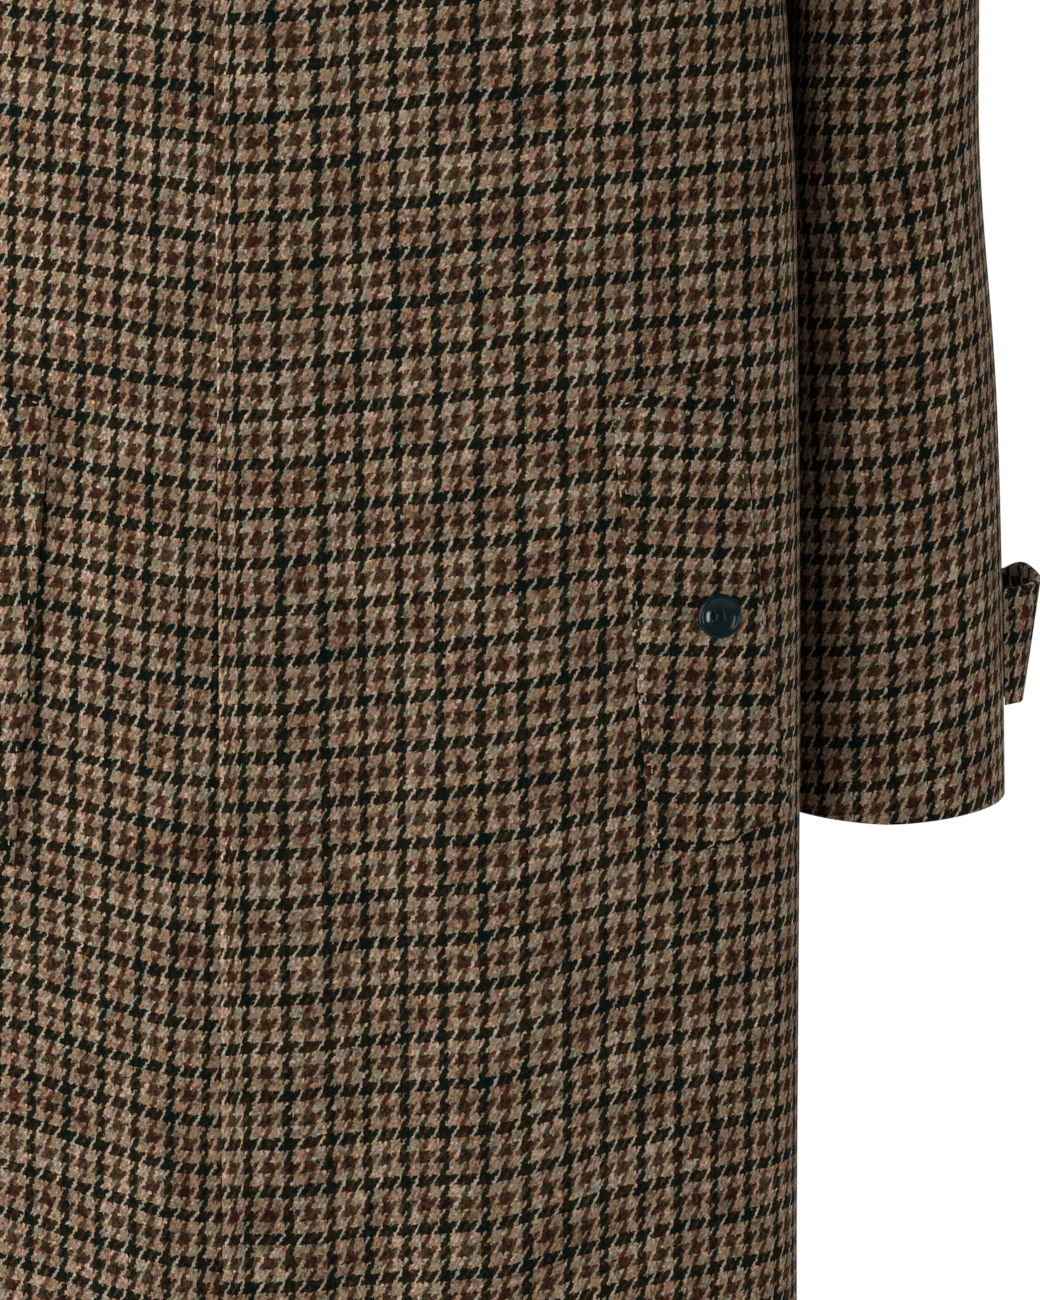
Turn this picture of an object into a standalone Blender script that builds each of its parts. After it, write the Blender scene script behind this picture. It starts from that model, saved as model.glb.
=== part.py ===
"""Tweed coat in its worn shape, hollow, open at neck, hem and cuffs.

Metres. +Z is up, the front faces -Y, the wearer's left is +X.
The origin is midway between the two neck points, where the shoulders carry the coat.
Every panel is a wall of cloth: an outer face computed from sections, and an inner face
one cloth thickness further in.
"""

import math
from collections import namedtuple

import bmesh
import bpy
import numpy as np
from mathutils import Vector
from mathutils.bvhtree import BVHTree

for old in list(bpy.data.objects):
    bpy.data.objects.remove(old, do_unlink=True)

# Cloth and seams
CLOTH = 0.0025
SEAM_GAP = 0.0003
LAP_LIFT = 0.0042
LAP_HALF = 0.0515
LAP_HALF_AT_NECK = 0.036
LAP_SETTLE_FROM = 1.4
LAP_SETTLE_TO = 0.95

# Mesh density
BODY_ROWS = 14
RAGLAN_STEPS = 8
NECK_STEPS = 2
LAP_COLUMNS = 4
FRONT_COLUMNS = 13
BACK_COLUMNS = 12
SHOULDER_RINGS = 7
ARM_RINGS = 9

# Body sections from hem to underarm. side_x and side_y place the side seam.
BodyRow = namedtuple("BodyRow", "z side_x side_y front_y back_y")
BODY = (
    BodyRow(-1.075, 0.216, -0.030, -0.128, 0.150),
    BodyRow(-0.950, 0.214, -0.035, -0.124, 0.145),
    BodyRow(-0.800, 0.2137, -0.040, -0.120, 0.140),
    BodyRow(-0.660, 0.2135, -0.040, -0.118, 0.137),
    BodyRow(-0.530, 0.2120, -0.036, -0.117, 0.132),
    BodyRow(-0.420, 0.2095, -0.030, -0.118, 0.130),
    BodyRow(-0.340, 0.2045, -0.015, -0.120, 0.130),
    BodyRow(-0.285, 0.199, 0.000, -0.122, 0.130),
)
FRONT_SQUARENESS = 5.0
BACK_SQUARENESS = 2.25
TURN_SHARE = 0.7
SEAM_TRIM = 0.12

# Raglan seams from the underarm, t = 0, to the neck, t = 1, and the centre lines beside them.
# power and rounding shape the section between the centre line and the seam.
RaglanRow = namedtuple("RaglanRow", "t seam_x seam_y seam_z centre_y centre_z power rounding")
RAGLAN_FRONT = (
    RaglanRow(0.00, 0.199, 0.000, -0.285, -0.122, -0.285, 5.0, 5.0),
    RaglanRow(0.15, 0.186, -0.062, -0.240, -0.122, -0.250, 4.2, 2.6),
    RaglanRow(0.35, 0.158, -0.092, -0.180, -0.120, -0.205, 3.2, 1.5),
    RaglanRow(0.60, 0.125, -0.091, -0.115, -0.110, -0.155, 2.6, 1.1),
    RaglanRow(0.80, 0.100, -0.072, -0.064, -0.095, -0.116, 2.2, 1.0),
    RaglanRow(1.00, 0.071, -0.042, -0.018, -0.076, -0.078, 2.0, 1.2),
)
RAGLAN_BACK = (
    RaglanRow(0.00, 0.199, 0.000, -0.285, 0.130, -0.285, 2.25, 2.25),
    RaglanRow(0.15, 0.192, 0.055, -0.240, 0.136, -0.235, 2.4, 1.9),
    RaglanRow(0.35, 0.168, 0.095, -0.180, 0.140, -0.170, 2.4, 1.4),
    RaglanRow(0.60, 0.135, 0.108, -0.110, 0.132, -0.100, 2.3, 1.1),
    RaglanRow(0.80, 0.107, 0.094, -0.055, 0.108, -0.054, 2.2, 1.0),
    RaglanRow(1.00, 0.068, 0.045, -0.006, 0.068, -0.014, 2.0, 1.2),
)
NECK_POINT = (0.078, 0.000, 0.002)

# Sleeve rings from the upper arm to the cuff.
# tilt lifts both sides of a ring above its front and back.
ArmRow = namedtuple("ArmRow", "z centre_x centre_y half_width half_depth tilt")
ARM = (
    ArmRow(-0.300, 0.2495, 0.010, 0.0465, 0.080, 0.000),
    ArmRow(-0.350, 0.2520, 0.024, 0.0460, 0.076, 0.001),
    ArmRow(-0.420, 0.2520, 0.040, 0.0480, 0.071, 0.002),
    ArmRow(-0.550, 0.2570, 0.055, 0.0540, 0.065, 0.003),
    ArmRow(-0.660, 0.2580, 0.060, 0.0575, 0.060, 0.005),
    ArmRow(-0.7425, 0.2590, 0.060, 0.0585, 0.056, 0.006),
)
ARM_SQUARENESS = 2.3
UNDERARM_OUTWARD = (0.75, 0.0, -0.66)
SHOULDER_SLOPE = (0.935, 0.0, -0.355)
SHOULDER_FULLNESS = 1.05
ARM_FULLNESS = 1.15

# Soft folds, pushed out (height above zero) or in, fading in from top_z to full_z.
Fold = namedtuple("Fold", "x half_width height top_z full_z")
FRONT_FOLDS = (
    Fold(-0.072, 0.050, 0.0030, -0.300, -0.900),
    Fold(0.018, 0.042, -0.0028, -0.350, -0.850),
    Fold(0.074, 0.046, 0.0030, -0.420, -0.950),
    Fold(0.122, 0.036, -0.0026, -0.600, -1.000),
    Fold(-0.140, 0.040, -0.0024, -0.550, -1.000),
)
BACK_FOLDS = (
    Fold(-0.118, 0.052, 0.0070, -0.420, -1.050),
    Fold(-0.030, 0.044, -0.0050, -0.380, -0.980),
    Fold(0.052, 0.058, 0.0065, -0.460, -1.060),
    Fold(0.138, 0.042, -0.0045, -0.520, -1.020),
)

# Creases on the sleeve. around runs from 0 at the overarm seam to 1 at the underarm seam.
Crease = namedtuple("Crease", "z around half_height half_around slope height")
FRONT_CREASES = (
    Crease(-0.395, 0.70, 0.022, 0.34, 0.030, -0.0035),
    Crease(-0.470, 0.62, 0.026, 0.38, 0.045, 0.0030),
    Crease(-0.535, 0.74, 0.022, 0.30, 0.020, -0.0030),
)
BACK_CREASES = (
    Crease(-0.410, 0.66, 0.024, 0.36, -0.030, 0.0030),
    Crease(-0.490, 0.56, 0.026, 0.40, -0.040, -0.0035),
)

# Pocket welt: corners as (x, z) seen from the front
WELT_CORNERS = {
    "top_front": (0.1253, -0.526),
    "top_side": (0.1800, -0.510),
    "bottom_front": (0.1450, -0.739),
    "bottom_side": (0.2050, -0.718),
}
WELT_GAP = 0.0005
WELT_THICK = 0.0030
WELT_LIFT_AT_SIDE = 0.0010
WELT_ROWS = 9
WELT_COLUMNS = 6

# Sleeve strap. drop lowers its bottom edge and rise lifts its top edge where it stands off.
# It is thin where the overarm seam holds it.
STRAP_BOTTOM = -0.693
STRAP_TOP = -0.638
STRAP_REACH = 0.62
STRAP_SWEEP = 0.006
STRAP_ROWS = 4
STRAP_COLUMNS = 20
StrapRow = namedtuple("StrapRow", "along stand_off_bottom stand_off_top drop rise thick")
STRAP = (
    StrapRow(0.00, 0.0006, 0.0006, 0.0014, 0.0000, 0.0012),
    StrapRow(0.05, 0.0056, 0.0112, 0.0020, 0.0004, 0.0028),
    StrapRow(0.11, 0.0090, 0.0190, 0.0032, 0.0016, 0.0030),
    StrapRow(0.18, 0.0098, 0.0200, 0.0040, 0.0042, 0.0030),
    StrapRow(0.26, 0.0092, 0.0184, 0.0038, 0.0060, 0.0030),
    StrapRow(0.33, 0.0078, 0.0150, 0.0034, 0.0018, 0.0030),
    StrapRow(0.42, 0.0056, 0.0098, 0.0024, 0.0000, 0.0030),
    StrapRow(0.60, 0.0025, 0.0040, 0.0010, 0.0000, 0.0030),
    StrapRow(0.80, 0.0008, 0.0010, 0.0000, 0.0000, 0.0030),
    StrapRow(1.00, 0.0006, 0.0006, 0.0000, 0.0000, 0.0030),
)

# Buttons
BUTTON_RADIUS = 0.0103
BUTTON_GAP = 0.0004
BUTTON_SEGMENTS = 24
POCKET_BUTTON = (0.1730, -0.624)
STRAP_BUTTON_ALONG = 0.86
ButtonRow = namedtuple("ButtonRow", "radius_share height")
BUTTON_PROFILE = (
    ButtonRow(0.78, 0.0000),
    ButtonRow(1.00, 0.0014),
    ButtonRow(1.00, 0.0026),
    ButtonRow(0.90, 0.0036),
    ButtonRow(0.74, 0.0034),
    ButtonRow(0.60, 0.0024),
)

# Collar. share runs from 0 at the centre front to 1 at the centre back.
CollarRow = namedtuple("CollarRow", "share stand fall spread")
COLLAR = (
    CollarRow(0.00, 0.018, 0.078, 0.55),
    CollarRow(0.15, 0.022, 0.074, 0.34),
    CollarRow(0.35, 0.028, 0.068, 0.12),
    CollarRow(0.60, 0.034, 0.064, 0.00),
    CollarRow(0.80, 0.036, 0.066, 0.00),
    CollarRow(1.00, 0.037, 0.068, 0.00),
)
COLLAR_THICK = 0.0030
COLLAR_GAP = 0.0009
COLLAR_ROLL = 0.0052
COLLAR_INSET = 0.0020
COLLAR_CLEAR = 0.0032
COLLAR_END_X = 0.004

TWEED = ("tweed", (0.085, 0.060, 0.039, 1.0), 0.95)
HORN = ("button", (0.006, 0.014, 0.018, 1.0), 0.25)


def smooth(low, high, value):
    """0 below low, 1 above high, an even S between."""
    share = np.clip((value - low) / (high - low), 0.0, 1.0)
    return share * share * (3.0 - 2.0 * share)


def read_rows(places, values, at):
    """Values of a table read at other places, on a smooth curve through its rows."""
    places = np.asarray(places, float)
    values = np.asarray(values, float)
    at = np.asarray(at, float)
    slopes = np.gradient(values, places, axis=0)
    row = np.clip(np.searchsorted(places, at) - 1, 0, len(places) - 2)
    step = places[row + 1] - places[row]
    share = (at - places[row]) / step
    extra = values.ndim - 1
    step = step.reshape(step.shape + (1,) * extra)
    share = share.reshape(share.shape + (1,) * extra)
    start = (1 + 2 * share) * (1 - share) ** 2
    leave = share * (1 - share) ** 2
    finish = share**2 * (3 - 2 * share)
    arrive = share**2 * (share - 1)
    return (
        start * values[row]
        + leave * step * slopes[row]
        + finish * values[row + 1]
        + arrive * step * slopes[row + 1]
    )


def read_table(table, at):
    """The columns of a table after its first, read at places along the first."""
    numbers = np.array(table, float)
    numbers = numbers[np.argsort(numbers[:, 0])]
    return read_rows(numbers[:, 0], numbers[:, 1:], at)


def unit(vectors):
    """Vectors brought to length 1."""
    length = np.linalg.norm(vectors, axis=-1, keepdims=True)
    return vectors / np.maximum(length, 1e-12)


def face_normals(points):
    """Directions square to a grid of points, from its rows and columns."""
    down = np.gradient(points, axis=0)
    across = np.gradient(points, axis=1)
    return unit(np.cross(across, down))


def half_section(centre, seam, shape, shares):
    """Points from a centre line to a seam, spread by length and by turning.

    shape holds the section's power and rounding, and the share of the whole curve that is
    used before the seam cuts it off.
    """
    power, rounding, used = shape
    u = np.sin(np.linspace(0.0, math.pi / 2, 400))
    reach = (1.0 - (used * u) ** power).clip(0.0) ** (1.0 / rounding)
    reach = (reach - reach[-1]) / (1.0 - reach[-1])
    x = seam[0] * u
    y = seam[1] + (centre[1] - seam[1]) * reach
    z = centre[2] + (seam[2] - centre[2]) * u**1.6
    dense = np.stack([x, y, z], 1)
    steps = np.diff(dense, axis=0)
    lengths = np.linalg.norm(steps, axis=1)
    heading = np.unwrap(np.arctan2(steps[:, 1], steps[:, 0]))
    turning = np.abs(np.diff(heading, prepend=heading[0]))
    weight = lengths / lengths.sum() + TURN_SHARE * turning / max(turning.sum(), 0.5)
    place = np.concatenate([[0.0], np.cumsum(weight)])
    place /= place[-1]
    return np.stack([np.interp(shares, place, dense[:, axis]) for axis in range(3)], 1)


def fold_push(folds, x, z):
    """How far soft folds push a point of the body in or out."""
    push = np.zeros_like(x)
    for fold in folds:
        across = np.clip((x - fold.x) / fold.half_width, -1.0, 1.0)
        fade = smooth(-fold.top_z, -fold.full_z, -z)
        push += fold.height * np.cos(across * math.pi / 2) ** 2 * fade
    return push


def body_half(table_side, shares):
    """Half of the front or of the back, rows from hem to neck, columns from centre to seam."""
    raglan = RAGLAN_FRONT if table_side == "front" else RAGLAN_BACK
    square = FRONT_SQUARENESS if table_side == "front" else BACK_SQUARENESS
    levels = np.linspace(BODY[0].z, BODY[-1].z, BODY_ROWS + 1)
    rows = []
    for z, (side_x, side_y, front_y, back_y) in zip(levels, read_table(BODY, levels)):
        centre_y = front_y if table_side == "front" else back_y
        shape = (square, square, 1.0)
        rows.append(half_section((0, centre_y, z), (side_x, side_y, z), shape, shares))
    steps = np.linspace(0.0, 1.0, RAGLAN_STEPS + 1)[1:]
    for step, values in zip(steps, read_table(raglan, steps)):
        seam_x, seam_y, seam_z, centre_y, centre_z, power, rounding = values
        shape = (power, rounding, 1.0 - SEAM_TRIM * smooth(0.0, 0.3, step))
        rows.append(half_section((0, centre_y, centre_z), (seam_x, seam_y, seam_z), shape, shares))
    return np.array(rows)


def mirrored(points):
    """Points on the other side of the coat."""
    return points * np.array([-1.0, 1.0, 1.0])


def lap_shares(half, lap_x):
    """The share along each row of a half section where x reaches the lap's edge."""
    spread = np.linspace(0.0, 1.0, half.shape[1])
    return np.array([np.interp(edge, row[:, 0], spread) for edge, row in zip(lap_x, half)])


def along_rows(half, shares):
    """Points of a half section at the given share of each row."""
    spread = np.linspace(0.0, 1.0, half.shape[1])
    return np.array(
        [
            [np.interp(share, spread, row[:, axis]) for axis in range(3)]
            for share, row in zip(shares, half)
        ]
    )


def front_panel(lap_lift):
    """Outer face of a front drawn on the +X side, from past the centre line to the seam."""
    fine = body_half("front", np.linspace(0.0, 1.0, 81))
    heights = fine[:, 0, 2]
    lap_x = LAP_HALF + (LAP_HALF_AT_NECK - LAP_HALF) * smooth(-0.26, heights[-1], heights)
    edge = lap_shares(fine, lap_x)
    columns = []
    for step in range(LAP_COLUMNS, 0, -1):
        columns.append(mirrored(along_rows(fine, edge * step / LAP_COLUMNS)))
    half = body_half("front", np.linspace(0.0, 1.0, FRONT_COLUMNS + 1))
    points = np.concatenate([np.stack(columns, 1), half], 1)
    normals = face_normals(points)
    side = 1.0 if lap_lift else -1.0
    push = fold_push(FRONT_FOLDS, side * points[:, :, 0], points[:, :, 2])
    settle_from = LAP_SETTLE_FROM * lap_x[:, None]
    settle_to = LAP_SETTLE_TO * points[:, -1:, 0]
    rise = lap_lift * (1.0 - smooth(settle_from, settle_to, points[:, :, 0]))
    return points + normals * (push + rise)[..., None]


def back_panel():
    """Outer face of the back, from the wearer's right to the wearer's left."""
    half = body_half("back", np.linspace(0.0, 1.0, BACK_COLUMNS + 1))
    points = np.concatenate([mirrored(half[:, :0:-1]), half], 1)
    normals = -face_normals(points)
    push = fold_push(BACK_FOLDS, points[:, :, 0], points[:, :, 2])
    return points + normals * push[..., None]


def ring_start(seam_side):
    """The sleeve's top edge: from the neck point along the neck, then down the raglan seam."""
    raglan = RAGLAN_FRONT if seam_side == "front" else RAGLAN_BACK
    seam = read_table(raglan, np.linspace(1.0, 0.0, RAGLAN_STEPS + 1))[:, :3]
    neck = np.array(NECK_POINT)
    shares = np.arange(NECK_STEPS) / NECK_STEPS
    bend = np.array([0.5 * (neck[0] + seam[0, 0]) + 0.004, 0.62 * seam[0, 1], 0.35 * seam[0, 2]])
    edge = [(1 - s) ** 2 * neck + 2 * s * (1 - s) * bend + s**2 * seam[0] for s in shares]
    return np.concatenate([np.array(edge), seam])


def arm_ring(seam_side, row, shares):
    """Half a sleeve ring from the overarm to the underarm."""
    z, centre_x, centre_y, half_width, half_depth, tilt = row
    angle = shares * math.pi
    side = -1.0 if seam_side == "front" else 1.0
    power = 2.0 / ARM_SQUARENESS
    across = np.sign(np.cos(angle)) * np.abs(np.cos(angle)) ** power
    deep = np.abs(np.sin(angle)) ** power
    x = centre_x + half_width * across
    y = centre_y + side * half_depth * deep
    return np.stack([x, y, z + tilt * np.abs(across) ** 1.5], 1)


def crease_push(creases, z, around):
    """How far creases push a point of the sleeve in or out."""
    push = np.zeros_like(z)
    for crease in creases:
        offset = around - crease.around
        level = (z - crease.z - crease.slope * offset) / crease.half_height
        push += crease.height * np.exp(-(level**2)) * np.exp(-((offset / crease.half_around) ** 2))
    return push


def sleeve_rows(seam_side, leaving):
    """Rings of half a sleeve from the raglan seam to the cuff, before creases."""
    start = ring_start(seam_side)
    gaps = np.linalg.norm(np.diff(start, axis=0), axis=1)
    shares = np.concatenate([[0.0], np.cumsum(gaps)]) / gaps.sum()
    levels = np.linspace(ARM[0].z, ARM[-1].z, ARM_RINGS + 1)
    arm = [arm_ring(seam_side, (z, *row), shares) for z, row in zip(levels, read_table(ARM, levels))]
    finish = arm[0]
    reach = np.linalg.norm(finish - start, axis=1, keepdims=True)
    arriving = unit(arm[1] - arm[0])
    rings = []
    for s in np.linspace(0.0, 1.0, SHOULDER_RINGS + 1)[:-1]:
        rings.append(
            (1 + 2 * s) * (1 - s) ** 2 * start
            + s * (1 - s) ** 2 * reach * SHOULDER_FULLNESS * leaving
            + s**2 * (3 - 2 * s) * finish
            + s**2 * (s - 1) * reach * ARM_FULLNESS * arriving
        )
    return np.array(rings + arm), shares


def leaving_directions(panel_seam):
    """How each line of the sleeve leaves the neck edge and the raglan seam."""
    slope = np.array(SHOULDER_SLOPE)
    seam = panel_seam[::-1]
    count = len(seam)
    away = np.linspace(0.0, 1.0, count)[:, None]
    low = smooth(0.80, 1.0, away)
    turned = unit(seam * (1 - low) + np.array([0.80, 0.0, -0.60]) * low)
    mixed = unit(slope * (1 - smooth(0.0, 0.35, away)) + turned * smooth(0.0, 0.35, away))
    return np.concatenate([np.repeat(slope[None], NECK_STEPS, 0), mixed])


def sleeve_half(seam_side, panel_seam):
    """Outer face of half a sleeve on the +X side with its creases."""
    rings, shares = sleeve_rows(seam_side, leaving_directions(panel_seam))
    creases = FRONT_CREASES if seam_side == "front" else BACK_CREASES
    out = face_normals(rings) * (1.0 if seam_side == "front" else -1.0)
    around = np.broadcast_to(shares, rings.shape[:2])
    push = crease_push(creases, rings[:, :, 2], around)
    push *= np.sin(around * math.pi) ** 0.5
    return rings + out * push[..., None]


def drawn_back(edge, inside):
    """An edge moved half a seam gap into its panel, square to the edge."""
    tangent = unit(np.gradient(edge, axis=0))
    inward = inside - edge
    inward = inward - tangent * np.sum(inward * tangent, axis=1, keepdims=True)
    return edge + unit(inward) * SEAM_GAP / 2


def pull_back(points, first_row=False, first_column=False, last_column=False):
    """The edges of a panel that meet a seam, drawn back from it."""
    moved = points.copy()
    if first_column:
        moved[:, 0] = drawn_back(points[:, 0], points[:, 1])
    if last_column:
        moved[:, -1] = drawn_back(points[:, -1], points[:, -2])
    if first_row:
        moved[0] += drawn_back(points[0], points[1]) - points[0]
    return moved


def shared(*normals):
    """One direction for the two sides of a seam."""
    return unit(sum(normals))


def material(name, colour, roughness):
    """A plain surface for one piece."""
    made = bpy.data.materials.new(name)
    made.use_nodes = True
    shader = made.node_tree.nodes["Principled BSDF"]
    shader.inputs["Base Color"].default_value = colour
    shader.inputs["Roughness"].default_value = roughness
    made.diffuse_color = colour
    return made


def solid(name, points, faces, look):
    """A named closed object with outward faces."""
    mesh = bpy.data.meshes.new(name)
    mesh.from_pydata([tuple(p) for p in points], [], faces)
    work = bmesh.new()
    work.from_mesh(mesh)
    bmesh.ops.triangulate(work, faces=work.faces[:])
    bmesh.ops.recalc_face_normals(work, faces=work.faces[:])
    work.to_mesh(mesh)
    work.free()
    mesh.materials.append(material(f"{name}_{look[0]}", look[1], look[2]))
    made = bpy.data.objects.new(name, mesh)
    bpy.context.scene.collection.objects.link(made)
    return made


def wall(name, outer, inner, look):
    """A wall of cloth between two grids of points."""
    rows, columns = outer.shape[:2]
    points = np.concatenate([outer.reshape(-1, 3), inner.reshape(-1, 3)])
    under = rows * columns
    faces = []
    for r in range(rows - 1):
        for c in range(columns - 1):
            a = r * columns + c
            quad = (a, a + 1, a + columns + 1, a + columns)
            faces.append(quad)
            faces.append(tuple(under + corner for corner in reversed(quad)))
    around = list(range(columns))
    around += [r * columns + columns - 1 for r in range(1, rows)]
    around += [(rows - 1) * columns + c for c in range(columns - 2, -1, -1)]
    around += [r * columns for r in range(rows - 2, 0, -1)]
    for here, there in zip(around, around[1:] + around[:1]):
        if points[here, 2] > points[there, 2]:
            faces.append((here, there, under + there))
            faces.append((here, under + there, under + here))
        else:
            faces.append((here, there, under + here))
            faces.append((there, under + there, under + here))
    return solid(name, points, faces, look)


# Outer faces of the panels
left = front_panel(LAP_LIFT)
right = front_panel(0.0)
back = back_panel()
front_normals = face_normals(left)
right_normals = face_normals(right)
back_normals = -face_normals(back)

# The directions in which the sleeves leave the raglan seams
underarm = BODY_ROWS
front_seam = unit(left[underarm:, -1] - left[underarm:, -3])
back_seam = unit(back[underarm:, -1] - back[underarm:, -3])
sleeve_front = sleeve_half("front", front_seam)
sleeve_back = sleeve_half("back", back_seam)
sleeve_front_normals = face_normals(sleeve_front)
sleeve_back_normals = -face_normals(sleeve_back)

# Seams: the two sides of a seam share their wall's direction
side = shared(front_normals[: underarm + 1, -1], back_normals[: underarm + 1, -1])
front_normals[: underarm + 1, -1] = side
right_normals[: underarm + 1, -1] = side
back_normals[: underarm + 1, -1] = side
over = shared(sleeve_front_normals[:, 0], sleeve_back_normals[:, 0])
under = shared(sleeve_front_normals[:, -1], sleeve_back_normals[:, -1])
for normals in (sleeve_front_normals, sleeve_back_normals):
    normals[:, 0] = over
    normals[:, -1] = under
for panel, sleeve in ((front_normals, sleeve_front_normals), (back_normals, sleeve_back_normals)):
    joined = shared(panel[underarm:, -1], sleeve[0, NECK_STEPS:][::-1])
    panel[underarm:, -1] = joined
    sleeve[0, NECK_STEPS:] = joined[::-1]
corner = unit(np.array(UNDERARM_OUTWARD))
front_normals[underarm, -1] = corner
back_normals[underarm, -1] = corner
sleeve_front_normals[0, -1] = corner
sleeve_back_normals[0, -1] = corner
right_normals[underarm:, -1] = front_normals[underarm:, -1]
back_normals[:, 0] = mirrored(back_normals[:, -1])

# The panels as walls of cloth
left = pull_back(left, last_column=True)
right = pull_back(right, last_column=True)
back = pull_back(back, first_column=True, last_column=True)
sleeve_front = pull_back(sleeve_front, first_row=True, first_column=True, last_column=True)
sleeve_back = pull_back(sleeve_back, first_row=True, first_column=True, last_column=True)
panels = {
    "front_left": (left, left - front_normals * CLOTH),
    "front_right": (mirrored(right), mirrored(right - right_normals * CLOTH)),
    "back": (back, back - back_normals * CLOTH),
}
for half, outer, normals in (
    ("front", sleeve_front, sleeve_front_normals),
    ("back", sleeve_back, sleeve_back_normals),
):
    inner = outer - normals * CLOTH
    panels[f"sleeve_left_{half}"] = (outer, inner)
    panels[f"sleeve_right_{half}"] = (mirrored(outer), mirrored(inner))
trees = []
for name, (outer, inner) in panels.items():
    made = wall(name, outer, inner, TWEED)
    corners = [v.co.copy() for v in made.data.vertices]
    trees.append(BVHTree.FromPolygons(corners, [tuple(p.vertices) for p in made.data.polygons]))


def on_grid(points, normals, row, column):
    """A point and its outward direction at fractions of a grid's rows and columns."""
    r = int(min(row, points.shape[0] - 1.001))
    c = int(min(column, points.shape[1] - 1.001))
    dr = row - r
    dc = column - c
    mixed = []
    for field in (points, normals):
        low = field[r, c] * (1 - dc) + field[r, c + 1] * dc
        high = field[r + 1, c] * (1 - dc) + field[r + 1, c + 1] * dc
        mixed.append(low * (1 - dr) + high * dr)
    return mixed[0], unit(mixed[1])


def front_at(points, normals, x, z):
    """The point of a front panel seen at x and z from the front, and its outward direction."""
    row = float(np.interp(z, points[: underarm + 1, -1, 2], np.arange(underarm + 1)))
    r = int(min(row, underarm - 1))
    line = points[r] * (1 - row + r) + points[r + 1] * (row - r)
    column = float(np.interp(x, line[:, 0], np.arange(len(line))))
    return on_grid(points, normals, row, column)


def welt_grid(points, normals, stand_off):
    """The welt's face, a flat four-cornered piece following the panel."""
    corners = {name: np.array(place) for name, place in WELT_CORNERS.items()}
    grid = []
    for down in np.linspace(0.0, 1.0, WELT_ROWS + 1):
        start = corners["top_front"] * (1 - down) + corners["bottom_front"] * down
        end = corners["top_side"] * (1 - down) + corners["bottom_side"] * down
        line = []
        for across in np.linspace(0.0, 1.0, WELT_COLUMNS + 1):
            x, z = start * (1 - across) + end * across
            place, out = front_at(points, normals, x, z)
            line.append(place + out * (stand_off + WELT_LIFT_AT_SIDE * across))
        grid.append(line)
    return np.array(grid)


def button(name, place, out):
    """A turned button with a raised rim and a dished middle, its back on the cloth."""
    out = Vector(out).normalized()
    turn = Vector((0, 0, 1)).rotation_difference(out)
    centre = Vector(place) + out * BUTTON_GAP
    points = [centre]
    for row in BUTTON_PROFILE:
        for step in range(BUTTON_SEGMENTS):
            angle = 2 * math.pi * step / BUTTON_SEGMENTS
            radius = BUTTON_RADIUS * row.radius_share
            local = Vector((radius * math.cos(angle), radius * math.sin(angle), row.height))
            points.append(centre + turn @ local)
    points.append(centre + turn @ Vector((0, 0, BUTTON_PROFILE[-1].height)))
    faces = []
    count = BUTTON_SEGMENTS
    for step in range(count):
        after = (step + 1) % count
        faces.append((0, 1 + after, 1 + step))
        for ring in range(len(BUTTON_PROFILE) - 1):
            low = 1 + ring * count
            high = low + count
            faces.append((low + step, low + after, high + after, high + step))
        top = 1 + (len(BUTTON_PROFILE) - 1) * count
        faces.append((top + step, top + after, len(points) - 1))
    return solid(name, points, faces, HORN)


# Pocket welts and their buttons
for hand, points, normals in (("left", left, front_normals), ("right", right, right_normals)):
    low = welt_grid(points, normals, WELT_GAP)
    high = welt_grid(points, normals, WELT_GAP + WELT_THICK)
    place, out = front_at(points, normals, *POCKET_BUTTON)
    place = place + out * (WELT_GAP + WELT_THICK + WELT_LIFT_AT_SIDE)
    if hand == "right":
        low, high, place, out = mirrored(low), mirrored(high), mirrored(place), mirrored(out)
    wall(f"welt_{hand}", high, low, TWEED)
    button(f"button_pocket_{hand}", place, out)


def strap_grid(depth):
    """A face of the strap, from the overarm seam round to the back; depth 0 is inside, 1 outside."""
    heights = sleeve_back[SHOULDER_RINGS:, 0, 2]
    gaps = np.linalg.norm(np.diff(ring_start("back"), axis=0), axis=1)
    around = np.concatenate([[0.0], np.cumsum(gaps)]) / gaps.sum()
    grid = []
    for up in np.linspace(0.0, 1.0, STRAP_ROWS + 1):
        line = []
        for step in range(STRAP_COLUMNS + 1):
            along = step / STRAP_COLUMNS
            point_end = 1.0 - 0.5 * max(0.0, (along - 0.88) / 0.12) ** 1.5 * abs(2 * up - 1)
            level = 0.5 + (up - 0.5) * point_end
            low, high, drop, rise, thick = read_table(STRAP, np.array([along]))[0]
            bottom = STRAP_BOTTOM - drop
            z = bottom + (STRAP_TOP + rise - bottom) * level + STRAP_SWEEP * along
            row = SHOULDER_RINGS + float(np.interp(-z, -heights, np.arange(len(heights))))
            column = float(np.interp(along * STRAP_REACH, around, np.arange(len(around))))
            place, out = on_grid(sleeve_back, sleeve_back_normals, row, column)
            line.append(place + out * (low + (high - low) * up + depth * thick))
        grid.append(line)
    return np.array(grid)


# Sleeve straps and their buttons
strap_low = strap_grid(0.0)
strap_high = strap_grid(1.0)
strap_column = STRAP_BUTTON_ALONG * STRAP_COLUMNS
strap_normals = unit(strap_high - strap_low)
strap_place, strap_out = on_grid(strap_high, strap_normals, STRAP_ROWS / 2, strap_column)
wall("strap_left", strap_high, strap_low, TWEED)
wall("strap_right", mirrored(strap_high), mirrored(strap_low), TWEED)
button("button_strap_left", strap_place + strap_out * 0.0002, strap_out)
button("button_strap_right", mirrored(strap_place + strap_out * 0.0002), mirrored(strap_out))


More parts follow.
